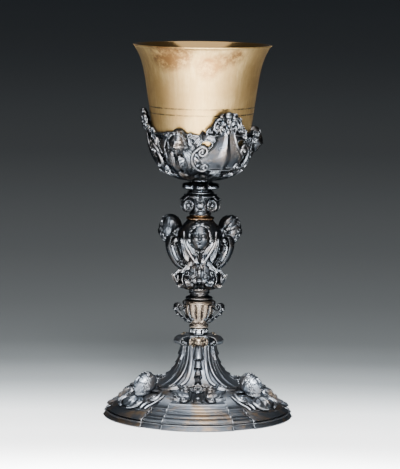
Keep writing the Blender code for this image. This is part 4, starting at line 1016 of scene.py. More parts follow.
def husk_chain():
    """Bellflowers that hang one below the other down a panel, smaller towards the foot."""
    high = FOOT_RUN.up_to(FOOT_HEIGHT - 0.0064)
    low = FOOT_RUN.in_to(FOOT_RADIUS - 0.0405)
    forms = []
    for begin, finish, size in zip(HUSK_SHARES, HUSK_SHARES[1:], HUSK_SIZES):
        start = high + (low - high) * begin
        step = (high - low) * (finish - begin)
        path = [(0.0, start - step * share) for share in (0.0, 0.08, 0.20, 0.36, 0.54, 0.70, 0.84, 0.93)]
        places = [FOOT_RUN.place(across, distance, 0.0008) for across, distance in path]
        ups = [FOOT_RUN.out_of(across, distance) for across, distance in path]
        widths = [0.0032 * size * share for share in (0.45, 0.66, 0.80, 0.90, 0.96, 1.02, 1.10, 1.14)]
        forms.append(rod(places, ups, widths, widths, sides=18))
        for lean in (-0.42, 0.0, 0.42):
            forms.append(leaf(FOOT_RUN, (0.0006 * lean, start - 0.04 * step), math.pi + lean, step * 0.90,
                              0.0022 * size, bend=-1.5 * lean, rise=0.0009,
                              lift=0.0027 * size - 0.0016 * abs(lean)))
        seed = (0.0018 * size, 0.0018 * size, 0.0026 * size)
        forms.append(ball(seed, FOOT_RUN.place(0.0, start - 0.92 * step, 0.0012), fineness=2))
    for hand in SIDES:
        edge = [(hand * 0.0047, high), (hand * 0.0053, 0.5 * (high + low)), (hand * 0.0080, low + 0.004),
                (hand * 0.0125, low - 0.0010)]
        forms.append(laid_scroll(FOOT_RUN, edge, 0.0016, lift=0.0, thin=0.75, high=0.6))
    return gathered(forms)


def gilt_console():
    """The gilt mask-like boss at the head of a panel, between two small volutes."""
    middle = FOOT_HEIGHT - 0.0040
    forms = [ball((0.0064, 0.0052, 0.0062), round_axis(STEM_RADIUS + 0.0012, 0.0, middle)),
             ball((0.0034, 0.0030, 0.0034), round_axis(STEM_RADIUS + 0.0036, 0.0, middle - 0.0004))]
    place = FOOT_RUN.up_to(middle)
    for index in range(5):
        lean = (index - 2) * 0.62
        forms.append(leaf(FOOT_RUN, (0.0016 * math.sin(lean), place + 0.0010), lean, 0.0034, 0.0022,
                          rise=0.0009, lift=0.0018))
        forms.append(leaf(FOOT_RUN, (0.0018 * math.sin(lean), place - 0.0012), math.pi - lean, 0.0036, 0.0020,
                          rise=0.0008, lift=0.0016))
    for hand in SIDES:
        body = beside(hand, place, (0.0022, 0.0022), (0.0042, 0.0026), (0.0054, 0.0012))
        forms.append(laid_scroll(FOOT_RUN, body, 0.0007, (None, (hand * 0.0040, place - 0.0002)),
                                 lift=0.0006))
        body = beside(hand, place, (0.0050, 0.0004), (0.0062, -0.0022), (0.0046, -0.0040))
        forms.append(laid_scroll(FOOT_RUN, body, 0.0006, (None, (hand * 0.0040, place - 0.0028)),
                                 lift=0.0004))
    return gathered(forms)


def bay_spot(across, radius):
    """A place on a bay's field by its radius."""
    return across, FOOT_RUN.in_to(radius)


def bay_shell(wire):
    """A shell over a small keeled plate, held between two C-scrolls, with sprays of foliage at its sides."""
    forms = [shell(FOOT_RUN, bay_spot(0.0, 0.0350), 0.0098, 1.10, 7, 0.0017, lift=0.0012, drop=0.10),
             shell(FOOT_RUN, bay_spot(0.0, 0.0350), 0.0050, 1.00, 5, 0.0012, lift=0.0026, drop=0.10)]
    for hand in SIDES:
        for across, radius, angle, length in ((0.0066, 0.0330, 1.10, 0.0120), (0.0064, 0.0390, 1.45, 0.0150),
                                              (0.0080, 0.0450, 1.85, 0.0120)):
            forms.append(leaf(FOOT_RUN, bay_spot(hand * across, radius), hand * angle, length, 0.0050,
                              bend=-hand * 0.45, lobes=4, rise=0.0010, curl=0.0006, lift=0.0002))
        body = traced(bay_spot, hand, (0.0070, 0.0272), (0.0054, 0.0310), (0.0050, 0.0370), (0.0056, 0.0440),
                      (0.0076, 0.0492), (0.0098, 0.0500))
        eyes = traced(bay_spot, hand, (0.0086, 0.0292), (0.0094, 0.0470))
        forms.append(laid_scroll(FOOT_RUN, body, 1.3 * wire, eyes, lift=0.0006, thin=0.6))
        body = traced(bay_spot, hand, (0.0034, 0.0372), (0.0030, 0.0420), (0.0036, 0.0490))
        forms.append(laid_scroll(FOOT_RUN, body, 0.7 * wire, lift=0.0010, thin=0.7))
        spur = traced(bay_spot, hand, (0.0120, 0.0482), (0.0150, 0.0462), (0.0172, 0.0420))
        forms.append(laid_scroll(FOOT_RUN, spur, 0.7 * wire, (None, bay_spot(hand * 0.0152, 0.0410)),
                                 lift=0.0))

    def plate(u, v):
        side = 2.0 * u - 1.0
        across, distance = bay_spot(side * shared((0.0024, 0.0034, 0.0030, 0.0026), v), 0.0505 - 0.0135 * v)
        return across, distance, 0.0008 + 0.0018 * (1.0 - abs(side)) * (0.4 + 0.6 * math.sin(math.pi * v))

    forms.append(relief(FOOT_RUN, 12, 16, plate, 0.0012))
    forms.append(ball((0.0042, 0.0034, 0.0026), FOOT_RUN.place(*bay_spot(0.0, 0.0365), 0.0022)))
    forms.append(ball((0.0034, 0.0030, 0.0020), FOOT_RUN.place(*bay_spot(0.0, 0.0466), 0.0022)))
    return gathered(forms)


FOOT_HEAD_WIDTH = 0.0150
FOOT_HEAD_RADIUS = FOOT_RADIUS - 0.0220
FOOT_HEAD_TILT = math.radians(-46.0)


def lobe_cherub(feather):
    """A cherub head tilted back on a lobe of the foot, with folds and scrolls below it to the rim."""
    under = LOBE_RUN.in_to(FOOT_HEAD_RADIUS)
    ground = LOBE_RUN.at(under)[0].y

    def drapery(u, v):
        side = 2.0 * u - 1.0
        across = side * (0.0052 + 0.0072 * math.sin(0.5 * math.pi * v)) + 0.0016 * math.sin(math.pi * v)
        fold = math.cos(13.0 * abs(side) ** 0.8 - 4.2 * v)
        arch = max(1.0 - side * side, 0.0) ** 0.5 * math.sin(math.pi * min(0.15 + 0.85 * v, 1.0)) ** 0.6
        distance = under - 0.0040 - 0.0122 * v * (1.0 - 0.30 * side * side)
        return across, distance, 0.0004 + arch * (0.0019 + 0.0006 * fold)

    forms = [head_at(FOOT_HEAD_WIDTH, round_axis(FOOT_HEAD_RADIUS, 0.0, ground + 0.0068), FOOT_HEAD_TILT),
             ball((0.0118, 0.0140, 0.0110), round_axis(FOOT_HEAD_RADIUS, 0.0, ground + 0.0010))]
    for hand in SIDES:
        forms += feathers(LOBE_RUN, (hand * 0.0056, under - 0.0008), hand, 1.20, 2.10, 4, feather, 0.0062,
                          lift=0.0003, bend=0.35)
        shoulder = beside(hand, under, (0.0050, 0.0034), (0.0105, 0.0050), (0.0160, 0.0026),
                          (0.0186, -0.0030))
        forms.append(laid_scroll(LOBE_RUN, shoulder, 0.0014, (None, (hand * 0.0160, under - 0.0034)),
                                 lift=0.0008))
        swag = beside(hand, under, (0.0012, -0.0058), (0.0078, -0.0066), (0.0122, -0.0106),
                      (0.0104, -0.0158), (0.0040, -0.0178))
        forms.append(laid_scroll(LOBE_RUN, swag, 0.0014, lift=0.0004, thin=0.45))
        fold = beside(hand, under, (0.0118, -0.0052), (0.0158, -0.0096), (0.0156, -0.0156))
        forms.append(laid_scroll(LOBE_RUN, fold, 0.0012, lift=0.0002, thin=0.35))
        border = beside(hand, under, (0.0192, 0.0010), (0.0198, -0.0070), (0.0194, -0.0150))
        forms.append(laid_scroll(LOBE_RUN, border, 0.0008, lift=0.0, thin=0.8))
    forms.append(relief(LOBE_RUN, 44, 20, drapery, 0.0010))
    return gathered(forms)


# The stem

def stem_outline(node, shape):
    """(radius, share of height) points of a turned stem piece, as radius and height."""
    low, high = seat(node), top(node)
    return [(radius, low + (high - low) * share) for radius, share in shape]


def bored(outline, bore):
    """A closed outline for spinning, from points listed up the outer side."""
    return [(bore, outline[-1][1])] + outline[::-1] + [(bore, outline[0][1])]


def fluted(form, count, depth, low, high, sharp=1.0, phase=0.0):
    """Draws the surface in between crests, most at the middle of a range of heights."""
    for vert in form.verts:
        if low <= vert.co.z <= high:
            radius = math.hypot(vert.co.x, vert.co.y)
            azimuth = math.atan2(vert.co.x, -vert.co.y)
            fade = math.sin(math.pi * (vert.co.z - low) / (high - low)) ** 0.4
            wave = (0.5 - 0.5 * math.cos(count * (azimuth - phase))) ** sharp
            vert.co = round_axis(radius - depth * wave * fade, azimuth, vert.co.z)
    return form


BEAD_COUNT = 9


def bead_course():
    """A ring of squared beads between two fillets."""
    low, high = seat("bead_ring"), top("bead_ring")
    middle = 0.5 * (low + high)
    fillets = [(0.0056, low), (0.0061, low + 0.0002), (0.0061, low + 0.0006), (0.0052, low + 0.0009),
               (0.0052, high - 0.0009), (0.0061, high - 0.0006), (0.0061, high - 0.0002), (0.0056, high)]
    forms = [spun(bored(fillets, ROD_BORE), 72)]
    for index in range(BEAD_COUNT):
        bead = bmesh.new()
        bmesh.ops.create_cube(bead, size=1.0)
        bmesh.ops.bevel(bead, geom=bead.edges, offset=0.26, affect="EDGES", segments=4, profile=0.5,
                        material=-1)
        azimuth = math.tau * index / BEAD_COUNT
        pose = (Matrix.Translation(round_axis(0.0052, azimuth, middle)) @ Matrix.Rotation(azimuth, 4, "Z")
                @ Matrix.Diagonal((0.0037, 0.0028, high - low - 0.0009, 1.0)))
        forms.append(posed(bead, pose))
    return gathered(forms)


VASE_OUTLINE = stem_outline("vase_knop", (
    (0.0062, 0.0), (0.0067, 0.02), (0.0067, 0.10), (0.0060, 0.12), (0.0060, 0.15), (0.0068, 0.17),
    (0.0071, 0.20), (0.0078, 0.24), (0.0083, 0.32), (0.0094, 0.48), (0.0104, 0.66), (0.0109, 0.80),
    (0.0112, 0.86), (0.0109, 0.88), (0.0116, 0.895), (0.0117, 0.93), (0.0113, 0.955), (0.0106, 0.965),
    (0.0104, 0.985), (0.0098, 1.0)))
VASE_RUN = Run(VASE_OUTLINE)
VASE_FLUTES = 12


def fluted_vase():
    """A small vase whose belly is fluted, under a moulded lip."""
    low, high = seat("vase_knop"), top("vase_knop")
    outline = smoothed(VASE_OUTLINE, 2)
    form = spun(bored(outline, ROD_BORE), 144)
    return fluted(form, VASE_FLUTES, 0.0017, low + 0.22 * (high - low), low + 0.875 * (high - low), sharp=2.6)


def vase_handle(wire):
    """A scroll handle with a leaf on its back."""
    low = seat("vase_knop")
    high = top("vase_knop")
    span = high - low
    body = [(0.0078, low + 0.22 * span), (0.0098, low + 0.30 * span), (0.0128, low + 0.42 * span),
            (0.0165, low + 0.56 * span), (0.0188, low + 0.74 * span), (0.0187, low + 0.86 * span)]
    eyes = ((0.0092, low + 0.30 * span), (0.0168, low + 0.83 * span))
    forms = [standing_scroll(body, 0.9 * wire, 0.0026, eyes, turns=1.1, flare=1.2)]
    web = [(0.0100, low + 0.80 * span), (0.0120, low + 0.70 * span), (0.0146, low + 0.66 * span),
           (0.0160, low + 0.72 * span)]
    forms.append(standing_scroll(web, 0.6 * wire, 0.0014, ((0.0112, low + 0.90 * span), None), turns=0.9))
    for hand in SIDES:
        line = [(hand * 0.0040, VASE_RUN.up_to(low + 0.86 * span)),
                (hand * 0.0030, VASE_RUN.up_to(low + 0.60 * span)),
                (hand * 0.0034, VASE_RUN.up_to(low + 0.34 * span))]
        eye = (hand * 0.0046, VASE_RUN.up_to(low + 0.37 * span))
        forms.append(laid_scroll(VASE_RUN, line, 0.5 * wire, (None, eye), turns=0.9, lift=0.0002))
    for index in range(3):
        radius, height = body[2 + index]
        forms.append(ball((0.0034, 0.0022, 0.0030), Vector((0.0, -radius - 0.0006, height)), tilt=-0.7,
                          fineness=2))
    return gathered(forms)


def moulded_ring():
    """The turned ring under the main knop."""
    outline = stem_outline("lower_ring", (
        (0.0082, 0.0), (0.0088, 0.03), (0.0093, 0.10), (0.0096, 0.18), (0.0094, 0.27), (0.0088, 0.33),
        (0.0080, 0.36), (0.0073, 0.41), (0.0066, 0.48), (0.0064, 0.58), (0.0064, 0.68), (0.0068, 0.72),
        (0.0074, 0.76), (0.0074, 0.82), (0.0068, 0.86), (0.0070, 0.93), (0.0071, 1.0)))
    return spun(bored(smoothed(outline, 1), ROD_BORE), 96)


KNOP_OUTLINE = stem_outline("knop_body", (
    (0.0074, 0.0), (0.0082, 0.012), (0.0082, 0.03), (0.0075, 0.04), (0.0092, 0.055), (0.0128, 0.09),
    (0.0146, 0.13), (0.0152, 0.17), (0.0149, 0.22), (0.0140, 0.28), (0.0128, 0.33), (0.0119, 0.38),
    (0.0118, 0.43), (0.0123, 0.49), (0.0133, 0.57), (0.0147, 0.65), (0.0156, 0.72), (0.0158, 0.79),
    (0.0150, 0.85), (0.0130, 0.91), (0.0112, 0.95), (0.0100, 0.97), (0.0098, 0.98), (0.0090, 1.0)))
KNOP_RUN = Run(smoothed(KNOP_OUTLINE, 1))


def knop_spot(across, height):
    """A place on the knop by its height above the knop's seat."""
    return across, KNOP_RUN.up_to(seat("knop_body") + height)


def knop_core(wire):
    """The knop's body: panels between straps, an acanthus foot and a pendant bulb on each panel."""
    low, high = seat("knop_body"), top("knop_body")
    span = high - low
    form = spun(bored(smoothed(KNOP_OUTLINE, 2), ROD_BORE), 144)
    fluted(form, REPEATS, 0.0016, low + 0.30 * span, low + 0.70 * span, sharp=1.4, phase=math.pi / REPEATS)
    ornament = []
    for hand in SIDES:
        for lean, size, lift in ((0.15, 1.0, 0.0008), (0.75, 0.85, 0.0004)):
            ornament.append(leaf(KNOP_RUN, knop_spot(hand * (0.0062 + 0.003 * lean), 0.0030), hand * lean,
                                 0.0105 * size, 0.0078, bend=hand * 0.2, lobes=4, rise=0.0014, curl=0.0022,
                                 lift=lift))
        ornament.append(leaf(KNOP_RUN, knop_spot(hand * 0.0022, 0.0030), hand * -0.15, 0.0072, 0.0044,
                             lobes=3, rise=0.0012, curl=0.0012, lift=0.0002))
        line = traced(knop_spot, hand, (0.0094, 0.0160), (0.0062, 0.0200), (0.0046, 0.0245), (0.0040, 0.0290))
        eyes = traced(knop_spot, hand, (0.0090, 0.0135), (0.0022, 0.0282))
        ornament.append(laid_scroll(KNOP_RUN, line, 0.8 * wire, eyes, lift=0.0004, thin=0.6))
        line = traced(knop_spot, hand, (0.0030, 0.0120), (0.0036, 0.0160), (0.0018, 0.0200))
        ornament.append(laid_scroll(KNOP_RUN, line, 0.6 * wire, (knop_spot(hand * 0.0044, 0.0118), None),
                                    lift=0.0004))
    ornament.append(ball((0.0052, 0.0050, 0.0036), KNOP_RUN.place(*knop_spot(0.0, 0.0090), 0.0016)))
    ornament.append(ball((0.0034, 0.0034, 0.0078), KNOP_RUN.place(*knop_spot(0.0, 0.0148), 0.0008)))
    return gathered([form] + thirds(gathered(ornament)))


KNOP_HEAD_WIDTH = 0.0172
KNOP_HEAD_RADIUS = 0.0246
KNOP_HEAD_TILT = math.radians(-10.0)


def knop_head(wire):
    """A cherub head at the knop's shoulder, its wings folded under the chin."""
    rise = top("knop_body") - 0.0085
    forms = [head_at(KNOP_HEAD_WIDTH, round_axis(KNOP_HEAD_RADIUS, 0.0, rise), KNOP_HEAD_TILT),
             ball((0.0100, 0.0170, 0.0110), round_axis(0.0190, 0.0, rise - 0.0020))]
    for hand in SIDES:
        for across, lean, length in ((0.0118, 0.10, 0.0190), (0.0092, 0.26, 0.0165)):
            forms.append(leaf(KNOP_RUN, knop_spot(hand * across, 0.0375), math.pi + hand * lean, length,
                              0.0072, bend=hand * 0.25, rise=0.0012, lift=0.0030 - 0.20 * across))
        line = traced(knop_spot, hand, (0.0104, 0.0415), (0.0096, 0.0350), (0.0062, 0.0290), (0.0026, 0.0220))
        forms.append(laid_scroll(KNOP_RUN, line, 1.35 * wire, lift=0.0020, thin=0.6))
        line = traced(knop_spot, hand, (0.0138, 0.0380), (0.0132, 0.0310), (0.0108, 0.0230), (0.0072, 0.0180))
        forms.append(laid_scroll(KNOP_RUN, line, 0.8 * wire, lift=0.0008, thin=0.5))
    forms.append(leaf(KNOP_RUN, knop_spot(0.0, 0.0285), math.pi, 0.0090, 0.0040, rise=0.0016, lift=0.0012))
    return gathered(forms)


def knop_scroll(wire):
    """A C-scroll bracket beside the heads, with a leaf on its back and a ball in its volute."""
    low = seat("knop_body")
    body = above(low, (0.0150, 0.0165), (0.0178, 0.0180), (0.0214, 0.0222), (0.0246, 0.0280),
                 (0.0260, 0.0340), (0.0246, 0.0385))
    forms = [standing_scroll(body, wire, 0.0033, above(low, (0.0166, 0.0196), (0.0218, 0.0356)), turns=1.15)]
    web = above(low, (0.0125, 0.0190), (0.0158, 0.0215), (0.0188, 0.0262), (0.0206, 0.0322), (0.0200, 0.0375))
    forms.append(standing_scroll(web, 0.0036, 0.0019, dish=0.0))
    fold = above(low, (0.0140, 0.0180), (0.0180, 0.0236), (0.0212, 0.0296), (0.0222, 0.0350))
    forms.append(standing_scroll(fold, 0.0009, 0.0026))
    forms.append(ball((0.0080, 0.0050, 0.0050), Vector((0.0, -0.0205, low + 0.0365))))
    for hand in SIDES:
        forms.append(leaf(KNOP_RUN, knop_spot(hand * 0.0022, 0.0130), hand * 0.25, 0.0170, 0.0050,
                          bend=hand * 0.5, lobes=4, rise=0.0012, curl=0.0016, lift=0.0004))
        line = traced(knop_spot, hand, (0.0034, 0.0060), (0.0028, 0.0110), (0.0042, 0.0170), (0.0050, 0.0240))
        forms.append(laid_scroll(KNOP_RUN, line, 0.6 * wire, lift=0.0006, thin=0.6))
    forms.append(leaf(KNOP_RUN, knop_spot(0.0, 0.0215), math.pi, 0.0110, 0.0040, lobes=2, rise=0.0012,
                      curl=0.0040, lift=0.0008))
    return gathered(forms)


SOCKET_BORE = 0.0045


def neck_moulding():
    """The turned ring on the knop."""
    outline = stem_outline("neck_ring", (
        (0.0088, 0.0), (0.0094, 0.08), (0.0098, 0.22), (0.0098, 0.40), (0.0093, 0.52), (0.0084, 0.58),
        (0.0076, 0.66), (0.0073, 0.80), (0.0073, 1.0)))
    return spun(bored(smoothed(outline, 1), SOCKET_BORE), 96)


SPOOL_OUTLINE = stem_outline("spool_knop", (
    (0.0078, 0.0), (0.0076, 0.06), (0.0070, 0.12), (0.0068, 0.22), (0.0069, 0.34), (0.0073, 0.48),
    (0.0080, 0.60), (0.0092, 0.72), (0.0101, 0.78), (0.0100, 0.80), (0.0110, 0.83), (0.0112, 0.88),
    (0.0110, 0.93), (0.0102, 0.95), (0.0095, 1.0)))
SPOOL_RUN = Run(SPOOL_OUTLINE)


def spool():
    """The upper spool with a convex panel and a leaf on each third."""
    low, high = seat("spool_knop"), top("spool_knop")
    swelling = ball((0.0062, 0.0050, 0.0086), Vector((0.0, -0.0066, low + 0.52 * (high - low))))
    tongue = leaf(SPOOL_RUN, (0.0, SPOOL_RUN.up_to(low + 0.90 * (high - low))), math.pi, 0.0060, 0.0046,
                  lobes=2, rise=0.0008, lift=0.0012)
    form = spun(bored(smoothed(SPOOL_OUTLINE, 1), SOCKET_BORE), 96)
    return gathered([form] + thirds(gathered([swelling, tongue])))


def spool_volute(wire):
    """A round volute set edgeways on the spool, rimmed on both sides with a button in its eye."""
    centre = (0.0106, seat("spool_knop") + 0.0068)
    radius = 0.0040
    disc = bmesh.new()
    bmesh.ops.create_cone(disc, cap_ends=True, segments=40, radius1=radius, radius2=radius, depth=0.0040)
    turn = Matrix.Translation((0.0, -centre[0], centre[1])) @ Matrix.Rotation(math.pi / 2.0, 4, "Y")
    forms = [posed(disc, turn)]
    for hand in SIDES:
        rim = []
        for step in range(33):
            angle = math.tau * step / 32.0
            rim.append(Vector((hand * 0.0023, -centre[0] - radius * 0.86 * math.cos(angle),
                               centre[1] + radius * 0.86 * math.sin(angle))))
        count = len(rim)
        thick = [0.9 * wire] * count
        forms.append(rod(rim, [Vector((hand, 0.0, 0.0))] * count, thick, thick, ring=True))
        forms.append(ball((0.0026, 0.0034, 0.0034), Vector((hand * 0.0023, -centre[0], centre[1]))))
        for index in range(6):
            angle = math.tau * index / 6.0
            petal = Vector((hand * 0.0022, -centre[0] - 0.0023 * math.cos(angle),
                            centre[1] + 0.0023 * math.sin(angle)))
            forms.append(ball((0.0012, 0.0013, 0.0013), petal, fineness=2))
    tail = above(centre[1], (0.0090, -0.0042), (0.0106, -0.0044), (0.0130, -0.0034))
    forms.append(standing_scroll(tail, 0.0007, 0.0022))
    hood = above(centre[1], (0.0092, 0.0066), (0.0122, 0.0062), (0.0150, 0.0036))
    forms.append(standing_scroll(hood, 0.0009, 0.0030))
    return gathered(forms)


COLLAR_LOBES = 6


def lobed_collar():
    """The lobed disc under the calyx on a short waisted neck."""
    outline = stem_outline("upper_collar", (
        (0.0090, 0.0), (0.0094, 0.03), (0.0094, 0.08), (0.0084, 0.12), (0.0080, 0.18), (0.0084, 0.23),
        (0.0104, 0.26), (0.0126, 0.30), (0.0138, 0.37), (0.0140, 0.44), (0.0138, 0.52), (0.0130, 0.59),
        (0.0114, 0.63), (0.0098, 0.65), (0.0086, 0.68), (0.0080, 0.72), (0.0076, 0.78), (0.0075, 0.84),
        (0.0080, 0.90), (0.0080, 0.95), (0.0077, 1.0)))
    low, high = seat("upper_collar"), top("upper_collar")
    form = spun(bored(smoothed(outline, 1), SOCKET_BORE), 144)
    fluted(form, COLLAR_LOBES, 0.0034, low + 0.24 * (high - low), low + 0.66 * (high - low), sharp=1.8)
    return form


# The calyx and the cup

CUP_SEAT = seat("cup")
CUP_TOP = top("cup")
CUP_WAIST = CUP_SEAT + 0.0293
CUP_WAIST_RADIUS = 0.0343
LIP_FLARE = 0.0011
CUP_RIM_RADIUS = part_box("cup")[1].x + LIP_FLARE
CUP_BASE_RADIUS = 0.0080
CALYX_SEAT = seat("calyx_bowl")
CALYX_SHEET = 0.0012
CALYX_CLEARANCE = 0.0007
CALYX_BASE_RADIUS = 0.0088
CALYX_DIP = 0.0310


def bowl_curve(base_radius, base_height, waist_radius, waist_height, count):
    """Points up a rounded bowl from its base to its waist."""
    points = []
    for index in range(count + 1):
        angle = math.pi / 2.0 * index / count
        out = math.sin(angle) ** (2.0 / 2.1)
        up = 1.0 - max(math.cos(angle), 0.0) ** (2.0 / 2.1)
        points.append((base_radius + (waist_radius - base_radius) * out,
                       base_height + (waist_height - base_height) * up))
    return points


def cup_flare(count):
    """Points up the cup's side from its waist to its rim."""
    points = []
    for index in range(1, count + 1):
        share = index / count
        flare = 0.6 * share + 0.4 * share**7
        points.append((CUP_WAIST_RADIUS + (CUP_RIM_RADIUS - CUP_WAIST_RADIUS) * flare,
                       CUP_WAIST + (CUP_TOP - CUP_WAIST) * share))
    return points


CUP_RUN = Run(bowl_curve(CUP_BASE_RADIUS, CUP_SEAT, CUP_WAIST_RADIUS, CUP_WAIST, 28) + cup_flare(64))
CALYX_RUN = Run(bowl_curve(CALYX_BASE_RADIUS, CALYX_SEAT + CALYX_SHEET, CUP_WAIST_RADIUS + CALYX_CLEARANCE,
                           CUP_WAIST, 28)
                + [tuple(point) for point in CUP_RUN.pushed(CALYX_CLEARANCE).points[29:]]).pushed(CALYX_SHEET)


def calyx_spot(across, height):
    """A place on the calyx by its height."""
    return across, CALYX_RUN.up_to(height)


def bell_cup(engraving, wall):
    """The cup with its rolled lip and two fine lines engraved round its waist."""
    outer = [tuple(point) for point in CUP_RUN.points]
    engraved = []
    for radius, height in outer:
        depth = sum(engraving * max(1.0 - abs(height - line) / 0.0006, 0.0) for line in ENGRAVED_LINES)
        engraved.append((radius - depth, height))
    inner = [tuple(point) for point in CUP_RUN.pushed(-wall).points]
    floor = CUP_SEAT + 0.0022
    outline = [(0.0, floor)] + [(radius, max(height, floor)) for radius, height in inner[3:-1]]
    lip = [(inner[-1][0] - 0.0001, CUP_TOP - 0.0006), (inner[-1][0] + 0.0003, CUP_TOP - 0.0001),
           (CUP_RIM_RADIUS - 0.0005, CUP_TOP), (CUP_RIM_RADIUS - 0.0001, CUP_TOP - 0.0003),
           (CUP_RIM_RADIUS - 0.0002, CUP_TOP - 0.0008)]
    outline += lip + engraved[-2::-1] + [(0.0, CUP_SEAT)]
    return spun(outline, 160, closed=False)


def calyx_edge(azimuth):
    """Height of the calyx's edge: a peak at each cartouche, a low one at each cherub, dips between."""
    turn = (azimuth - CARTOUCHE_AZIMUTH) * REPEATS
    peak = 0.0042 * max(math.cos(turn), 0.0) + 0.0019 * max(-math.cos(turn), 0.0)
    return CALYX_SEAT + CALYX_DIP + peak + 0.0003 * math.cos(7.0 * turn)


WINDOW_AZIMUTH = math.radians(22.0)
WINDOW_HEIGHT = CALYX_SEAT + CALYX_DIP - 0.0052
WINDOW_HALF_LENGTH = 0.0036
WINDOW_HALF_HEIGHT = 0.0023


def openwork_bowl(wire):
    """The silver bowl round the cup, pierced beside each cartouche, with a rolled edge."""
    columns, rows = 360, 60
    reaches = [CALYX_RUN.up_to(calyx_edge(math.tau * column / columns)) for column in range(columns + 1)]
    on_window = CALYX_RUN.up_to(WINDOW_HEIGHT)
    windows = []
    for number in range(REPEATS):
        for hand in SIDES:
            windows.append((CARTOUCHE_AZIMUTH + number * THIRD + hand * WINDOW_AZIMUTH) % math.tau)
    form = bmesh.new()
    bmesh.ops.create_grid(form, x_segments=columns, y_segments=rows, size=0.5)
    pierced = []
    for face in form.faces:
        middle = face.calc_center_median()
        azimuth = math.tau * (middle.x + 0.5)
        distance = reaches[round((middle.x + 0.5) * columns)] * (middle.y + 0.5) ** 0.8
        for window in windows:
            across = (azimuth - window + math.pi) % math.tau - math.pi
            across *= CALYX_RUN.at(on_window)[0].x
            away = math.hypot(across / WINDOW_HALF_LENGTH, (distance - on_window) / WINDOW_HALF_HEIGHT)
            if away < 1.0:
                pierced.append(face)
    bmesh.ops.delete(form, geom=pierced, context="FACES")
    for vert in form.verts:
        u, v = vert.co.x + 0.5, vert.co.y + 0.5
        on, normal = CALYX_RUN.at(reaches[round(u * columns)] * v**0.8)
        chased = 0.00025 * math.sin(u * math.tau * 24.0 + 9.0 * v) * math.sin(15.0 * v)
        where = on + normal * chased
        vert.co = round_axis(max(where.x, SOCKET_BORE + 0.0043 * min(v * rows, 1.0)), math.tau * u, where.y)
    bmesh.ops.remove_doubles(form, verts=form.verts, dist=WELD)
    bmesh.ops.recalc_face_normals(form, faces=form.faces)
    bmesh.ops.solidify(form, geom=form.faces, thickness=CALYX_SHEET)
    bmesh.ops.recalc_face_normals(form, faces=form.faces)
    forms = [form]
    edge = []
    ups = []
    count = 240
    for step in range(count + 1):
        azimuth = math.tau * step / count
        on, normal = CALYX_RUN.at(CALYX_RUN.up_to(calyx_edge(azimuth)))
        edge.append(round_axis(on.x - 0.0002, azimuth, on.y))
        ups.append(round_axis(normal.x, azimuth, normal.y))
    thick = [0.9 * wire] * (count + 1)
    forms.append(rod(edge, ups, thick, thick, ring=True))
    steps = 28
    lens = []
    lens_ups = []
    for step in range(steps + 1):
        angle = math.tau * step / steps
        across = (WINDOW_HALF_LENGTH + 0.0005) * math.cos(angle)
        distance = on_window + (WINDOW_HALF_HEIGHT + 0.0005) * math.sin(angle)
        lens.append(CALYX_RUN.place(across, distance, 0.0002))
        lens_ups.append(CALYX_RUN.out_of(across, distance))
    thick = [0.75 * wire] * (steps + 1)
    lens_rim = rod(lens, lens_ups, thick, thick, ring=True)
    for window in windows:
        forms.append(posed(lens_rim.copy(), Matrix.Rotation(window, 4, "Z")))
    lens_rim.free()
    for number, window in enumerate(windows):
        hand = 1.0 if number % 2 else -1.0
        turn = Matrix.Rotation(window, 4, "Z")
        for aside in (0.0, 0.0030):
            fold = [(hand * (0.0088 + aside), on_window - 0.0075),
                    (hand * (0.0066 + aside), on_window - 0.0015),
                    (hand * (0.0046 + aside), on_window + 0.0028),
                    (hand * (0.0018 + aside), on_window + 0.0050)]
            forms.append(posed(laid_scroll(CALYX_RUN, fold, 0.8 * wire, lift=0.0003, thin=0.5), turn))
        tip = leaf(CALYX_RUN, (hand * 0.0030, on_window + 0.0032), 0.0, 0.0064, 0.0048, rise=0.0011,
                   lift=0.0005)
        forms.append(posed(tip, turn))
    return gathered(forms)


ACANTHUS_COUNT = 12


def acanthus_cup():
    """The ring of acanthus leaves under the calyx, their tips turned out."""
    forms = []
    for index in range(ACANTHUS_COUNT):
        long = index % 2 == 0
        length = 0.0190 if long else 0.0160
        one = leaf(CALYX_RUN, (0.0, 0.0010), 0.0, length, 0.0120, lobes=4, rise=0.0013,
                   curl=0.0009 if long else 0.0005, lift=0.0006 if long else 0.0002)
        turn = Matrix.Rotation(math.tau * index / ACANTHUS_COUNT + CARTOUCHE_AZIMUTH, 4, "Z")
        forms.append(posed(one, turn))
    return gathered(forms)


CALYX_HEAD_WIDTH = 0.0155
CALYX_HEAD_TILT = math.radians(2.0)


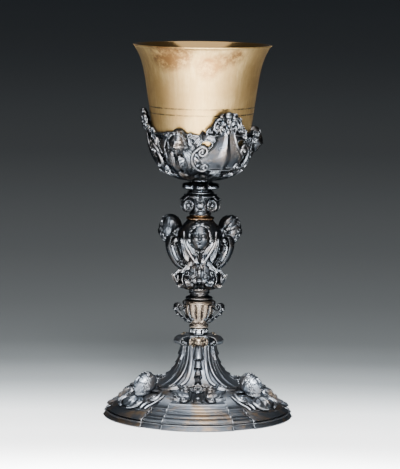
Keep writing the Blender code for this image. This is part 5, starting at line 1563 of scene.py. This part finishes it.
def calyx_head(feather, wire):
    """A cherub head between two cartouches, its wings drooping over the calyx."""
    rise = CALYX_SEAT + CALYX_DIP - 0.0045
    radius = CALYX_RUN.at(CALYX_RUN.up_to(rise))[0].x - 0.0006
    forms = [head_at(CALYX_HEAD_WIDTH, round_axis(radius, 0.0, rise), CALYX_HEAD_TILT)]
    for hand in SIDES:
        forms += feathers(CALYX_RUN, calyx_spot(hand * 0.0040, rise - 0.0050), hand, 1.60, 2.95, 6,
                          0.80 * feather, 0.0036, lift=0.0002, bend=0.3)
        forms += feathers(CALYX_RUN, calyx_spot(hand * 0.0036, rise - 0.0040), hand, 1.45, 2.75, 5,
                          0.52 * feather, 0.0032, lift=0.0012, bend=0.3)
        line = traced(calyx_spot, hand, (0.0072, rise + 0.0040), (0.0104, rise + 0.0010),
                      (0.0118, rise - 0.0050), (0.0098, rise - 0.0110))
        eyes = traced(calyx_spot, hand, (0.0088, rise + 0.0050), (0.0076, rise - 0.0100))
        forms.append(laid_scroll(CALYX_RUN, line, 0.8 * wire, eyes, lift=0.0002, thin=0.55))
    forms.append(leaf(CALYX_RUN, calyx_spot(0.0, rise - 0.0085), math.pi, 0.0105, 0.0072, lobes=4,
                      rise=0.0014, lift=0.0008))
    return gathered(forms)


SHIELD_LOW = 0.1770
SHIELD_HIGH = 0.2025
SHIELD_HALF_WIDTHS = (0.0090, 0.0146, 0.0168, 0.0120, 0.0088, 0.0070, 0.0058, 0.0050)


def shield(wire):
    """A plain keeled shield like a bell, between C-scrolls whose ends wind into volutes."""

    def spot(u, v):
        side = 2.0 * u - 1.0
        keel = 0.0012 * max(1.0 - abs(side) * 3.0, 0.0) + 0.0007 * side * side
        across, distance = calyx_spot(side * shared(SHIELD_HALF_WIDTHS, v),
                                      SHIELD_LOW + (SHIELD_HIGH - SHIELD_LOW) * v)
        return across, distance, 0.0010 + keel

    forms = [relief(CALYX_RUN, 32, 34, spot, 0.0012)]
    for hand in SIDES:
        rim = []
        for step in range(11):
            share = 1.0 - 0.74 * step / 10.0
            rim.append(calyx_spot(hand * shared(SHIELD_HALF_WIDTHS, share),
                                  SHIELD_LOW + (SHIELD_HIGH - SHIELD_LOW) * share))
        forms.append(laid_scroll(CALYX_RUN, rim, wire, lift=0.0010, thin=0.7, high=1.2))
        big = traced(calyx_spot, hand, (0.0186, 0.1915), (0.0222, 0.1885), (0.0224, 0.1830),
                     (0.0190, 0.1785), (0.0146, 0.1762))
        eyes = traced(calyx_spot, hand, (0.0160, 0.1888), (0.0128, 0.1782))
        forms.append(laid_scroll(CALYX_RUN, big, 1.55 * wire, eyes, turns=1.35, lift=0.0008, thin=0.55,
                                 high=1.1))
        low_line = [calyx_spot(hand * 0.0105, 0.1772), calyx_spot(hand * 0.0060, 0.1758),
                    calyx_spot(0.0, 0.1762)]
        forms.append(laid_scroll(CALYX_RUN, low_line, 0.9 * wire, lift=0.0010, thin=0.8))
        tip = calyx_spot(hand * 0.0150, 0.1800)
        forms.append(leaf(CALYX_RUN, tip, hand * 2.2, 0.0085, 0.0050, bend=hand * 0.6, lobes=3, rise=0.0010,
                          lift=0.0010))
        forms.append(leaf(CALYX_RUN, calyx_spot(hand * 0.0205, 0.1905), hand * 0.7, 0.0075, 0.0042,
                          bend=-hand * 0.6, lobes=3, rise=0.0010, lift=0.0006))
    for index in range(5):
        forms.append(leaf(CALYX_RUN, calyx_spot(0.0012 * (index - 2), 0.1762), math.pi + (2 - index) * 0.42,
                          0.0070, 0.0034, rise=0.0009, lift=0.0010))
    return gathered(forms)


def rocaille_crest(wire):
    """The ruffled shell above a shield, with smaller shells and volutes heaped at its foot."""
    base = calyx_spot(0.0, 0.2030)
    forms = [shell(CALYX_RUN, base, 0.0126, 1.30, 6, 0.0022, lean=0.0010, lift=0.0006, drop=0.10),
             shell(CALYX_RUN, (base[0], base[1] + 0.0008), 0.0082, 1.2, 4, 0.0018, lean=0.0010, lift=0.0024,
                   drop=0.1)]
    for hand in SIDES:
        side = calyx_spot(hand * 0.0088, 0.2005)
        forms.append(shell(CALYX_RUN, side, 0.0062, 1.1, 5, 0.0014, lean=0.0010, lift=0.0010,
                           turn=hand * 0.75))
        line = traced(calyx_spot, hand, (0.0046, 0.2010), (0.0060, 0.2040), (0.0050, 0.2066))
        forms.append(laid_scroll(CALYX_RUN, line, wire, (None, calyx_spot(hand * 0.0032, 0.2050)),
                                 lift=0.0022))
        line = traced(calyx_spot, hand, (0.0066, 0.2000), (0.0105, 0.1990), (0.0136, 0.2008))
        forms.append(laid_scroll(CALYX_RUN, line, wire, (None, calyx_spot(hand * 0.0122, 0.2026)),
                                 lift=0.0010))
        line = traced(calyx_spot, hand, (0.0030, 0.2100), (0.0066, 0.2120), (0.0096, 0.2090),
                      (0.0098, 0.2050))
        forms.append(laid_scroll(CALYX_RUN, line, 1.2 * wire, (None, calyx_spot(hand * 0.0076, 0.2056)),
                                 lift=0.0020))
    forms.append(ball((0.0040, 0.0038, 0.0048), CALYX_RUN.place(*calyx_spot(0.0, 0.2030), 0.0026)))
    forms.append(ball((0.0066, 0.0044, 0.0052), CALYX_RUN.place(0.0, base[1] + 0.0108, 0.0022), fineness=2))
    return gathered(forms)


# The studio

CAMERA_DISTANCE = 1.8106
CAMERA_HEIGHT = 0.3455
CAMERA_PITCH = math.radians(6.87)
CAMERA_ROLL = math.radians(0.78)
FLOOR_RADIUS = 14.0
# How far in front of the chalice the floor's painted pool of light is centred
PAINTED_POOL_DISTANCE = 0.9


def floor_finish(centre, rim):
    """A pale floor with a painted pool of light in front of the chalice and painted shade that deepens with
    the distance from it.
    """
    finish, tree, shader, coordinates = new_finish("studio_floor")
    flat = stretched(tree, (-1200, 0), coordinates, (1.0, 1.0, 0.0), (0.0, PAINTED_POOL_DISTANCE, 0.0))
    length = node_of(tree, "ShaderNodeVectorMath", (-1000, 0), operation="LENGTH")
    tree.links.new(flat, length.inputs[0])
    logarithm = calculated(tree, (-800, 0), "LOGARITHM", length.outputs["Value"], 10.0)
    scaled = ranged(tree, (-600, 0), logarithm, -1.0, 1.0)
    # Painted light and shade: the floor's colour falls from the pool's brightness to a dark ring and a dim
    # far floor, and turns bluer as it darkens
    painted_falloff_stops = ((0.0, centre), (0.4625, centre), (0.4806, 0.80 * centre), (0.4897, 0.54 * centre),
              (0.4987, 0.34 * centre), (0.5078, 0.20 * centre), (0.5259, 0.080 * centre), (0.544, 0.84 * rim),
              (0.58, 0.62 * rim), (0.63, 0.54 * rim), (0.74, 0.78 * rim), (0.81, 1.5 * rim),
              (0.97, 2.7 * rim))
    stops = []
    for position, shade in painted_falloff_stops:
        painted_shade_blueing = 1.0 - shade
        stops.append((position, (shade * (1.0 - 0.12 * painted_shade_blueing), shade, shade * (1.0 + 0.05 * painted_shade_blueing))))
    tree.links.new(colour_ramp(tree, (-400, 0), scaled, stops), shader.inputs["Base Color"])
    shader.inputs["Roughness"].default_value = 0.75
    return finish


def softbox(name, place, target, size, power, spread=180.0):
    """A rectangular light of that width and height, aimed at a point, that spreads by so many degrees."""
    lamp = bpy.data.lights.new(name, "AREA")
    lamp.shape = "RECTANGLE"
    lamp.size, lamp.size_y = size
    lamp.energy = power
    lamp.spread = math.radians(spread)
    obj = bpy.data.objects.new(name, lamp)
    obj.location = place
    obj.rotation_euler = (Vector(target) - Vector(place)).to_track_quat("-Z", "Y").to_euler()
    bpy.context.scene.collection.objects.link(obj)


def add_stage(settings):
    form = bmesh.new()
    bmesh.ops.create_circle(form, cap_ends=True, segments=96, radius=FLOOR_RADIUS)
    mesh = bpy.data.meshes.new("studio_floor")
    form.to_mesh(mesh)
    form.free()
    mesh.materials.append(floor_finish(settings.floor_shade, settings.far_painted_shade))
    floor = bpy.data.objects.new("studio_floor", mesh)
    bpy.context.scene.collection.objects.link(floor)
    middle = (0.0, 0.0, 0.15)
    softbox("front_softbox", (0.15, -1.6, 1.45), middle, (0.6, 0.5), settings.front_power)
    softbox("pool_softbox", (0.0, -1.05, 1.5), (0.0, -1.05, 0.0), (0.36, 1.3), settings.pool_power,
            spread=24.0)
    softbox("left_softbox", (-1.25, -0.9, 0.65), middle, (0.30, 1.0), settings.side_power)
    softbox("right_softbox", (1.25, -0.8, 0.65), middle, (0.30, 1.0), 0.9 * settings.side_power)
    softbox("top_softbox", (0.0, -0.3, 1.6), middle, (1.7, 1.5), settings.top_power)
    world = bpy.data.worlds.new("studio")
    world.use_nodes = True
    backdrop = world.node_tree.nodes["Background"]
    backdrop.inputs["Color"].default_value = (0.80, 0.88, 1.0, 1.0)
    backdrop.inputs["Strength"].default_value = settings.room_light
    bpy.context.scene.world = world


def add_camera(settings):
    """The camera at the photograph's place, a little above the cup's rim and looking down."""
    lens = bpy.data.cameras.new("camera")
    lens.lens = settings.lens
    lens.sensor_width = 36.0
    lens.clip_end = 60.0
    obj = bpy.data.objects.new("camera", lens)
    look = Matrix.Rotation(math.pi / 2.0 - CAMERA_PITCH, 4, "X") @ Matrix.Rotation(CAMERA_ROLL, 4, "Z")
    obj.matrix_world = Matrix.Translation((0.0, -CAMERA_DISTANCE, CAMERA_HEIGHT)) @ look
    bpy.context.scene.collection.objects.link(obj)
    bpy.context.scene.camera = obj


# The add-on

def length_property(name, description, default, low, high):
    return FloatProperty(name=name, description=description, default=default, min=low, max=high,
                         unit="LENGTH", precision=5)


def colour_property(name, description, default):
    return FloatVectorProperty(name=name, description=description, default=default, size=3, min=0.0, max=1.0,
                               subtype="COLOR")


def power_property(name, description, default):
    return FloatProperty(name=name, description=description, default=default, min=0.0, max=1000.0,
                         unit="POWER")


class ChaliceSizes(bpy.types.PropertyGroup):
    scroll_wire: length_property("Scroll wire", "Half the thickness of a raised scroll", 0.0009, 0.0003,
                                 0.002)
    feather: length_property("Feather", "Length of the longest wing feathers", 0.0135, 0.005, 0.02)
    engraving: length_property("Engraving", "Depth of the lines round the cup", 0.00011, 0.0, 0.0005)
    cup_wall: length_property("Cup wall", "Thickness of the cup's wall", 0.0012, 0.0006, 0.003)


class ChaliceColours(bpy.types.PropertyGroup):
    silver: colour_property("Silver", "Oxidised silver on open surfaces", (0.038, 0.043, 0.050))
    # The rubbed colour is real wear on the edges and also a painted highlight on every sharp edge
    rubbed_silver_and_glint: colour_property("Rubbed silver", "Silver on worn edges", (0.125, 0.131, 0.140))
    # The hollow colour is black oxide and also painted shade where parts close round each other
    hollow_oxide_and_shade: colour_property("Hollows", "Black oxide in the hollows", (0.024, 0.027, 0.032))
    gilding_trace: colour_property("Gilding traces", "Gilding left on the silver", (0.125, 0.090, 0.060))
    pale_gilt: colour_property("Pale gilt", "Open gilding", (0.49, 0.340, 0.145))
    deep_gilt: colour_property("Deep gilt", "Gilding where it is thicker", (0.29, 0.175, 0.062))
    # Cream gilt is the edge colour of the gilt pieces on the stem: worn gilding and also a painted highlight
    cream_gilt_and_glint: colour_property("Cream gilt", "Pale worn gilding on the stem", (0.50, 0.415, 0.285))
    worn_gilt: colour_property("Worn gilt", "Gilding rubbed down to the silver", (0.22, 0.18, 0.15))
    tarnish: colour_property("Tarnish", "Brown patches under the lip", (0.090, 0.042, 0.011))
    steel: colour_property("Steel", "Rod, nut and washers", (0.34, 0.33, 0.32))


class StudioSettings(bpy.types.PropertyGroup):
    lens: FloatProperty(name="Lens", description="Focal length in millimetres", default=200.3, min=20.0,
                        max=400.0)
    floor_shade: FloatProperty(name="Floor", description="Brightness of the floor under the chalice",
                               default=0.94, min=0.0, max=1.0, subtype="FACTOR")
    # The far floor's darkness is painted shade
    far_painted_shade: FloatProperty(name="Far floor", description="Brightness of the floor far away", default=0.05,
                             min=0.0, max=1.0, subtype="FACTOR")
    front_power: power_property("Front light", "Power of the softbox over the camera", 100.0)
    pool_power: power_property("Pool light", "Power of the light that falls on the floor in front", 340.0)
    side_power: power_property("Side lights", "Power of the softboxes at the sides", 6.0)
    top_power: power_property("Top light", "Power of the softbox overhead", 85.0)
    room_light: FloatProperty(name="Room light", description="Strength of the dim room around", default=0.08,
                              min=0.0, max=2.0, subtype="FACTOR")


class BuildStep:
    """An operator that builds some of the pieces from the sizes set in the panel."""

    def execute(self, context):
        self.build(context.scene.chalice_sizes)
        return {"FINISHED"}


class CHALICE_OT_plinth(BuildStep, bpy.types.Operator):
    """Adds the upright strip that the chalice stands on"""
    bl_idname = "chalice.plinth"
    bl_label = "Plinth strip"

    def build(self, sizes):
        add_piece("plinth_strip", plinth_strip(), "oxidised_silver", "foot_plinth", finish="foot_painted_lit_silver")


class CHALICE_OT_foot(BuildStep, bpy.types.Operator):
    """Adds the raised foot with its stepped bays and lobes"""
    bl_idname = "chalice.foot"
    bl_label = "Raised foot"

    def build(self, sizes):
        add_piece("raised_foot", raised_foot(), "oxidised_silver", "foot_dome", finish="foot_painted_lit_silver")


class CHALICE_OT_straps(BuildStep, bpy.types.Operator):
    """Adds the hollow straps with rolled edges and consoles"""
    bl_idname = "chalice.straps"
    bl_label = "Foot straps"

    def build(self, sizes):
        form = foot_strap(sizes.scroll_wire)
        add_repeated("foot_strap", form, "oxidised_silver", "foot_rib", RIB_AZIMUTH, "strap_painted_lit_silver")


class CHALICE_OT_panels(BuildStep, bpy.types.Operator):
    """Adds the husk chains and the gilt consoles above them"""
    bl_idname = "chalice.panels"
    bl_label = "Husk chains and consoles"

    def build(self, sizes):
        add_repeated("husk_chain", husk_chain(), "oxidised_silver", "husk_drop", 0.0, "strap_painted_lit_silver")
        add_repeated("gilt_console", gilt_console(), "worn_gilt", "stem_boss", 0.0)


class CHALICE_OT_bay_shells(BuildStep, bpy.types.Operator):
    """Adds the shells on the bays of the foot"""
    bl_idname = "chalice.bay_shells"
    bl_label = "Bay shells"

    def build(self, sizes):
        form = bay_shell(0.8 * sizes.scroll_wire)
        add_repeated("bay_shell", form, "oxidised_silver", "foot_shell", 0.0, "strap_painted_lit_silver")


class CHALICE_OT_lobe_cherubs(BuildStep, bpy.types.Operator):
    """Adds the winged cherub heads on the lobes of the foot"""
    bl_idname = "chalice.lobe_cherubs"
    bl_label = "Lobe cherubs"

    def build(self, sizes):
        form = lobe_cherub(sizes.feather)
        add_repeated("lobe_cherub", form, "oxidised_silver", "foot_cherub", RIB_AZIMUTH, "painted_lit_silver")


class CHALICE_OT_beads(BuildStep, bpy.types.Operator):
    """Adds the ring of squared beads under the vase"""
    bl_idname = "chalice.beads"
    bl_label = "Bead course"

    def build(self, sizes):
        add_piece("bead_course", bead_course(), "bright_silver", "bead_ring")


class CHALICE_OT_vase(BuildStep, bpy.types.Operator):
    """Adds the fluted vase and its scroll handles"""
    bl_idname = "chalice.vase"
    bl_label = "Fluted vase"

    def build(self, sizes):
        add_piece("fluted_vase", fluted_vase(), "worn_gilt", "vase_knop")
        form = vase_handle(sizes.scroll_wire)
        add_repeated("vase_handle", form, "oxidised_silver", "vase_ear", RIB_AZIMUTH)


class CHALICE_OT_rings(BuildStep, bpy.types.Operator):
    """Adds the turned rings below and above the main knop"""
    bl_idname = "chalice.rings"
    bl_label = "Turned rings"

    def build(self, sizes):
        add_piece("moulded_ring", moulded_ring(), "oxidised_silver", "lower_ring")
        add_piece("neck_moulding", neck_moulding(), "worn_gilt", "neck_ring", finish="copper_neck")


class CHALICE_OT_knop(BuildStep, bpy.types.Operator):
    """Adds the main knop's body with its acanthus foot"""
    bl_idname = "chalice.knop"
    bl_label = "Knop body"

    def build(self, sizes):
        form = knop_core(sizes.scroll_wire)
        add_piece("knop_core", form, "oxidised_silver", "knop_body")


class CHALICE_OT_knop_cherubs(BuildStep, bpy.types.Operator):
    """Adds the cherub heads of the main knop"""
    bl_idname = "chalice.knop_cherubs"
    bl_label = "Knop cherubs"

    def build(self, sizes):
        form = knop_head(sizes.scroll_wire)
        add_repeated("knop_head", form, "oxidised_silver", "knop_cherub", 0.0)


class CHALICE_OT_knop_scrolls(BuildStep, bpy.types.Operator):
    """Adds the scroll brackets between the knop's cherubs"""
    bl_idname = "chalice.knop_scrolls"
    bl_label = "Knop scrolls"

    def build(self, sizes):
        form = knop_scroll(sizes.scroll_wire)
        add_repeated("knop_scroll", form, "oxidised_silver", "knop_bracket", RIB_AZIMUTH)


class CHALICE_OT_spool(BuildStep, bpy.types.Operator):
    """Adds the upper spool with its volutes and the lobed collar"""
    bl_idname = "chalice.spool"
    bl_label = "Spool and collar"

    def build(self, sizes):
        add_piece("spool", spool(), "oxidised_silver", "spool_knop")
        form = spool_volute(sizes.scroll_wire)
        add_repeated("spool_volute", form, "oxidised_silver", "spool_scroll", RIB_AZIMUTH)
        add_piece("lobed_collar", lobed_collar(), "oxidised_silver", "upper_collar")


class CHALICE_OT_calyx(BuildStep, bpy.types.Operator):
    """Adds the pierced bowl round the cup and its acanthus leaves"""
    bl_idname = "chalice.calyx"
    bl_label = "Calyx bowl"

    def build(self, sizes):
        form = openwork_bowl(sizes.scroll_wire)
        add_piece("openwork_bowl", form, "oxidised_silver", "calyx_bowl")
        add_piece("acanthus_cup", acanthus_cup(), "oxidised_silver", "leaf_cup")


class CHALICE_OT_calyx_cherubs(BuildStep, bpy.types.Operator):
    """Adds the cherub heads of the calyx"""
    bl_idname = "chalice.calyx_cherubs"
    bl_label = "Calyx cherubs"

    def build(self, sizes):
        form = calyx_head(sizes.feather, sizes.scroll_wire)
        add_repeated("calyx_head", form, "oxidised_silver", "calyx_cherub", CALYX_CHERUB_AZIMUTH)


class CHALICE_OT_cartouches(BuildStep, bpy.types.Operator):
    """Adds the plain shields and the ruffled crests above them"""
    bl_idname = "chalice.cartouches"
    bl_label = "Cartouches"

    def build(self, sizes):
        wire = sizes.scroll_wire
        add_repeated("shield", shield(wire), "oxidised_silver", "calyx_cartouche", CARTOUCHE_AZIMUTH)
        add_repeated("rocaille_crest", rocaille_crest(wire), "oxidised_silver", "calyx_crest",
                     CARTOUCHE_AZIMUTH)


class CHALICE_OT_cup(BuildStep, bpy.types.Operator):
    """Adds the gilt cup, a bell with a rolled lip"""
    bl_idname = "chalice.cup"
    bl_label = "Cup"

    def build(self, sizes):
        add_piece("bell_cup", bell_cup(sizes.engraving, sizes.cup_wall), "gilt_cup", "cup", body="cup")


class CHALICE_OT_fastenings(BuildStep, bpy.types.Operator):
    """Gives the rod, nut, washers and screw inside the chalice their steel"""
    bl_idname = "chalice.fastenings"
    bl_label = "Fastenings"

    def build(self, sizes):
        for name in ("coupling", "tie_rod", "cup_stud", "cup_washer", "foot_washer", "foot_nut"):
            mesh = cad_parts[name].data
            mesh.materials.clear()
            mesh.materials.append(finish_of("screw_steel"))


class CHALICE_OT_stage(bpy.types.Operator):
    """Adds the plain floor, the soft lights and the camera"""
    bl_idname = "chalice.stage"
    bl_label = "Studio"

    def execute(self, context):
        add_stage(context.scene.studio_settings)
        add_camera(context.scene.studio_settings)
        return {"FINISHED"}


STEPS = (CHALICE_OT_stage, CHALICE_OT_plinth, CHALICE_OT_foot, CHALICE_OT_straps, CHALICE_OT_panels,
         CHALICE_OT_bay_shells, CHALICE_OT_lobe_cherubs, CHALICE_OT_beads, CHALICE_OT_vase, CHALICE_OT_rings,
         CHALICE_OT_knop, CHALICE_OT_knop_cherubs, CHALICE_OT_knop_scrolls, CHALICE_OT_spool,
         CHALICE_OT_calyx, CHALICE_OT_calyx_cherubs, CHALICE_OT_cartouches, CHALICE_OT_cup,
         CHALICE_OT_fastenings)


class CHALICE_PT_panel(bpy.types.Panel):
    """Lists the chalice's pieces, sizes and colours"""
    bl_idname = "CHALICE_PT_panel"
    bl_label = "Chalice"
    bl_space_type = "VIEW_3D"
    bl_region_type = "UI"
    bl_category = "Chalice"

    def draw(self, context):
        layout = self.layout
        for group in (context.scene.chalice_sizes, context.scene.chalice_colours,
                      context.scene.studio_settings):
            box = layout.box()
            for name in group.__annotations__:
                box.prop(group, name)
        for step in STEPS:
            layout.operator(step.bl_idname)


CLASSES = (ChaliceSizes, ChaliceColours, StudioSettings, *STEPS, CHALICE_PT_panel)


def register():
    for cls in CLASSES:
        bpy.utils.register_class(cls)
    bpy.types.Scene.chalice_sizes = PointerProperty(type=ChaliceSizes)
    bpy.types.Scene.chalice_colours = PointerProperty(type=ChaliceColours)
    bpy.types.Scene.studio_settings = PointerProperty(type=StudioSettings)


def unregister():
    del bpy.types.Scene.studio_settings
    del bpy.types.Scene.chalice_colours
    del bpy.types.Scene.chalice_sizes
    for cls in reversed(CLASSES):
        bpy.utils.unregister_class(cls)


def main():
    register()
    for step in STEPS:
        family, name = step.bl_idname.split(".")
        getattr(getattr(bpy.ops, family), name)()


if __name__ == "__main__":
    main()
